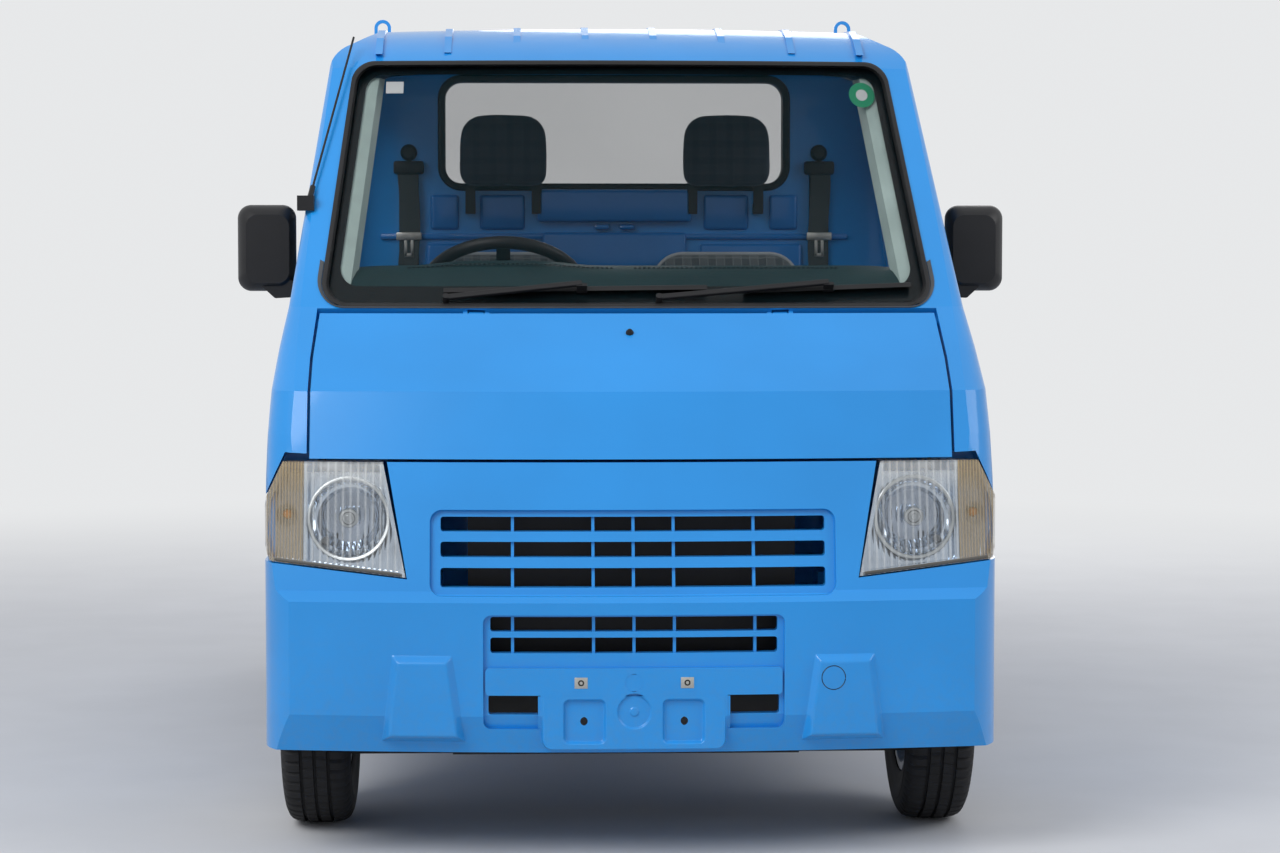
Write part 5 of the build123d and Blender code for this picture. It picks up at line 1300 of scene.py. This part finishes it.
def make_tail_lamps():
    """Ribbed lenses of the tail lamps, their screws and the plate holder's bolts."""
    face = at(TAIL_FACE)
    for name, look, low, high in TAIL_LENSES:
        lens = Shape()
        for side in (-1, 1):
            lens.box((side * low, face - 0.003, 0.463), (side * high, face + 0.0040, 0.547), 0.003)
            x0, x1 = side * (low + 0.004), side * (high - 0.004)
            for z in spread(0.472, 0.538, 7):
                lens.box((x0, face + 0.0030, z), (x1, face + 0.0046, z + 0.0040), 0.0006)
        lens.finish(f"tail_lens_{name}", look)

    screws = Shape()
    for x in (-0.693, -0.507, 0.507, 0.693):
        screws.lathe(TAIL_SCREW, (x, face, 0.505), BACKWARDS, 16)
    for x in (-0.105, 0.105):
        screws.lathe(PLATE_SCREW, (x, at(3.360), 0.540), BACKWARDS, 16)
    screws.finish("rear_screws", "zinc")


def make_underside():
    """Tank straps with the drain plug, and the leaf springs' bolts."""
    straps = Shape()
    low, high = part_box("fuel_tank")
    left, right = low.x - 0.003, high.x + 0.003
    foot, top = low.z - 0.002, high.z + 0.002
    corners = [(left, top), (right, top), (right, foot), (left, foot)]
    for y in (low.y + 0.11, high.y - 0.11):
        straps.loops([[(x, y + edge, z) for x, z in corners] for edge in (-STRAP_HALF, STRAP_HALF)])
    drain = ((low.x + high.x) / 2, (low.y + high.y) / 2, low.z)
    straps.lathe(DRAIN_PLUG, drain, (0, 0, -1), 6)
    straps.finish("tank_straps", "frame")

    bolts = Shape()
    for x in SPRING_BOLT_X:
        for y in map(at, SPRING_BOLT_STATIONS):
            bolts.tube([(x, y, 0.332), (x, y, 0.270)], 0.0055, 10)
            bolts.lathe(SPRING_NUT, (x, y, 0.282), (0, 0, -1), 6)
    bolts.finish("spring_bolts", "zinc")


# Headlamp details behind each lens
LAMP_CENTRE = (0.567, 0.685)
LENS_FACE = 0.0985
LENS_SWEEP = 0.147
LENS_RAKE = 0.243
BEZEL = [
    # radius, distance behind the lens
    (0.0835, 0.0140), (0.0835, 0.0075), (0.0815, 0.0062), (0.0770, 0.0070), (0.0755, 0.0100),
]
LAMP_DISH = [(0.0755, 0.0100), (0.0730, 0.0140), (0.0690, 0.0185), (0.0650, 0.0225)]
SHIELD = [
    (0.0, -0.0050), (0.0060, -0.0050), (0.0070, -0.0030), (0.0125, -0.0026),
    (0.0135, -0.0050), (0.0180, -0.0040), (0.0195, 0.0), (0.0190, 0.010),
]
BULB = [(0.0, 0.0), (0.006, 0.001), (0.0095, 0.006), (0.0100, 0.012), (0.0075, 0.020), (0.0070, 0.030)]
ADJUSTER_HOLE_SHADE = [(0.0, 0.0), (0.0060, 0.0002), (0.0072, 0.0020), (0.0072, 0.0120)]


def lens_station(x, z):
    """Station of the lamp lens' outer face."""
    return LENS_FACE + LENS_SWEEP * (x - LAMP_CENTRE[0]) + LENS_RAKE * (z - LAMP_CENTRE[1])


def lamp_rings(profile, side):
    """Rings round the main beam's middle, at distances behind the lens."""
    rows = []
    for radius, behind in profile:
        ring_points = circle(*LAMP_CENTRE, radius, 64)
        rows.append([(side * x, at(lens_station(x, z) + behind), z) for x, z in ring_points])
    return rows


def make_lamp_details():
    """Bezel, dish, bulb shield, a dark disc painted as the shade of the aiming adjuster's hole, divider,
    signal bulb and foot seal of each lamp.
    """
    bezels, dishes, shields, dark, bulbs, seals_and_gap_shades = (Shape() for _ in range(6))
    x, z = LAMP_CENTRE
    for side, name in SIDES:
        bezels.loops(lamp_rings(BEZEL, side))
        dishes.loops(lamp_rings(LAMP_DISH, side))
        shields.lathe(SHIELD, (side * x, at(0.1160), z), BACKWARDS)
        groove = [(side * a, at(0.1122), b) for a, b in circle(x, z, 0.0125, 32)]
        dark.tube(groove, 0.0010, 6, closed=True)
        # dark disc where the aiming adjuster's hole is: painted shade of the hole
        hole_x, hole_z = x + 0.046, z - 0.044
        hole_shade = (side * hole_x, at(lens_station(hole_x, hole_z) + 0.0130), hole_z)
        dark.lathe(ADJUSTER_HOLE_SHADE, hole_shade, BACKWARDS, 24)
        lens = node_tree(f"lamp_lens_{name}")
        back = Vector((0, 0.0052, 0))
        divider = [on_front(lens, side * SIGNAL_FROM, high) + back for high in spread(0.606, 0.788, 25)]
        dark.tube(divider, 0.0016, 6, flat=0.6, up=BACKWARDS)
        edge = [(side * a, 0.5755 + 0.1131 * (a - 0.452)) for a in spread(0.462, 0.714, 33)]
        foot = [on_front(lens, a, low, 0.0004) for a, low in edge]
        seals_and_gap_shades.tube(foot, 0.0032, flat=0.45, up=BACKWARDS)
        bulbs.lathe(BULB, (side * 0.692, at(0.1520), 0.690), BACKWARDS, 20)
    bezels.finish("lamp_bezels", "bezel")
    dishes.finish("lamp_dishes", "reflector")
    shields.finish("bulb_shields", "bezel")
    dark.finish("lamp_hole_shades_grooves_and_dividers", "trim_grey")
    bulbs.finish("signal_bulbs", "amber")
    seals_and_gap_shades.finish("lens_foot_seals", "lens_seal")


# Studio: pale floor that fades into the backdrop's colour, even sky and three soft lamps
FLOOR_HALF = 30.0
FADE_FROM = 2.4
FADE_TO = 7.5
BACKDROP = (0.80, 0.81, 0.82)
SKY = (0.86, 0.90, 1.0)
SKY_STRENGTH = 0.62
AIM = Vector((0, 0, 0.8))
LAMPS = [
    # name, place, size, power
    ("key", (-4.0, -5.5, 5.5), 4.5, 330),
    ("fill", (5.5, -2.5, 4.0), 4.0, 110),
    ("back", (1.5, 6.0, 3.2), 4.0, 90),
]


def make_floor():
    """Pale floor; far from the truck the camera sees it in the backdrop's colour."""
    mesh = bpy.data.meshes.new("floor")
    corners = [(x * FLOOR_HALF, y * FLOOR_HALF, 0) for x, y in ((-1, -1), (1, -1), (1, 1), (-1, 1))]
    mesh.from_pydata(corners, [], [(0, 1, 2, 3)])
    floor = bpy.data.objects.new("floor", mesh)
    bpy.context.scene.collection.objects.link(floor)
    ground = Shader("floor_grey")
    ground.set(Base_Color=ground.ramp(ground.noise(3, 4), 0.3, (0.60, 0.60, 0.60), 0.7, (0.63, 0.63, 0.63)))
    ground.set(Roughness=0.9, Specular_IOR_Level=0.1)
    far = ground.node("ShaderNodeVectorMath", {0: ground.place()}, operation="LENGTH").outputs["Value"]
    fade = {"Value": far, "From Min": FADE_FROM, "From Max": FADE_TO}
    share = ground.node("ShaderNodeMapRange", fade, interpolation_type="SMOOTHSTEP").outputs["Result"]
    seen = ground.node("ShaderNodeLightPath").outputs["Is Camera Ray"]
    glow = ground.node("ShaderNodeEmission", {"Color": BACKDROP, "Strength": 1.0})
    surfaces = {"Fac": ground.times(share, seen), 1: ground.bsdf.outputs["BSDF"], 2: glow.outputs["Emission"]}
    mixer = ground.node("ShaderNodeMixShader", surfaces)
    ground.feed(ground.nodes["Material Output"].inputs["Surface"], mixer.outputs["Shader"])
    mesh.materials.append(ground.owner)


def make_sky():
    """Even light, in which camera, glossy and transmission rays see the backdrop's colour."""
    sky = Shader("studio", bpy.data.worlds)
    bpy.context.scene.world = sky.owner
    light = sky.nodes["Background"]
    sky.feed(light.inputs["Color"], SKY)
    sky.feed(light.inputs["Strength"], SKY_STRENGTH)
    backdrop = sky.node("ShaderNodeBackground", {"Color": BACKDROP})
    rays = sky.node("ShaderNodeLightPath").outputs
    share = rays["Is Camera Ray"]
    for kind in ("Is Glossy Ray", "Is Transmission Ray"):
        share = sky.math("MAXIMUM", share, rays[kind])
    surfaces = {"Fac": share, 1: light.outputs["Background"], 2: backdrop.outputs["Background"]}
    mixer = sky.node("ShaderNodeMixShader", surfaces)
    sky.feed(sky.nodes["World Output"].inputs["Surface"], mixer.outputs["Shader"])


def make_lamps():
    """Three large soft lamps that look at the truck's middle."""
    for name, place, size, power in LAMPS:
        data = bpy.data.lights.new(name, "AREA")
        data.shape = "DISK"
        data.size = size
        data.energy = power
        lamp = bpy.data.objects.new(name, data)
        lamp.location = place
        lamp.rotation_euler = (AIM - Vector(place)).to_track_quat("-Z", "Y").to_euler()
        bpy.context.scene.collection.objects.link(lamp)


make_camera()
make_floor()
make_sky()
make_lamps()
dress_nodes()
make_windscreen_rubber()
make_windscreen_band()
make_corner_trim()
make_pillar_trim()
make_rear_window_rubber()
make_bracket()
make_bulges()
make_clips_and_nozzle()
make_wheels()
make_dash_pad()
make_dash_face()
make_gauges()
make_pressings()
make_belts()
make_headliner()
make_seats()
make_doors()
make_mirrors()
make_stickers()
make_latches()
make_hooks_and_gap_shades()
make_tail_lamps()
make_underside()
make_lamp_details()

bpy.context.scene.view_settings.view_transform = "Standard"
bpy.context.view_layer.update()
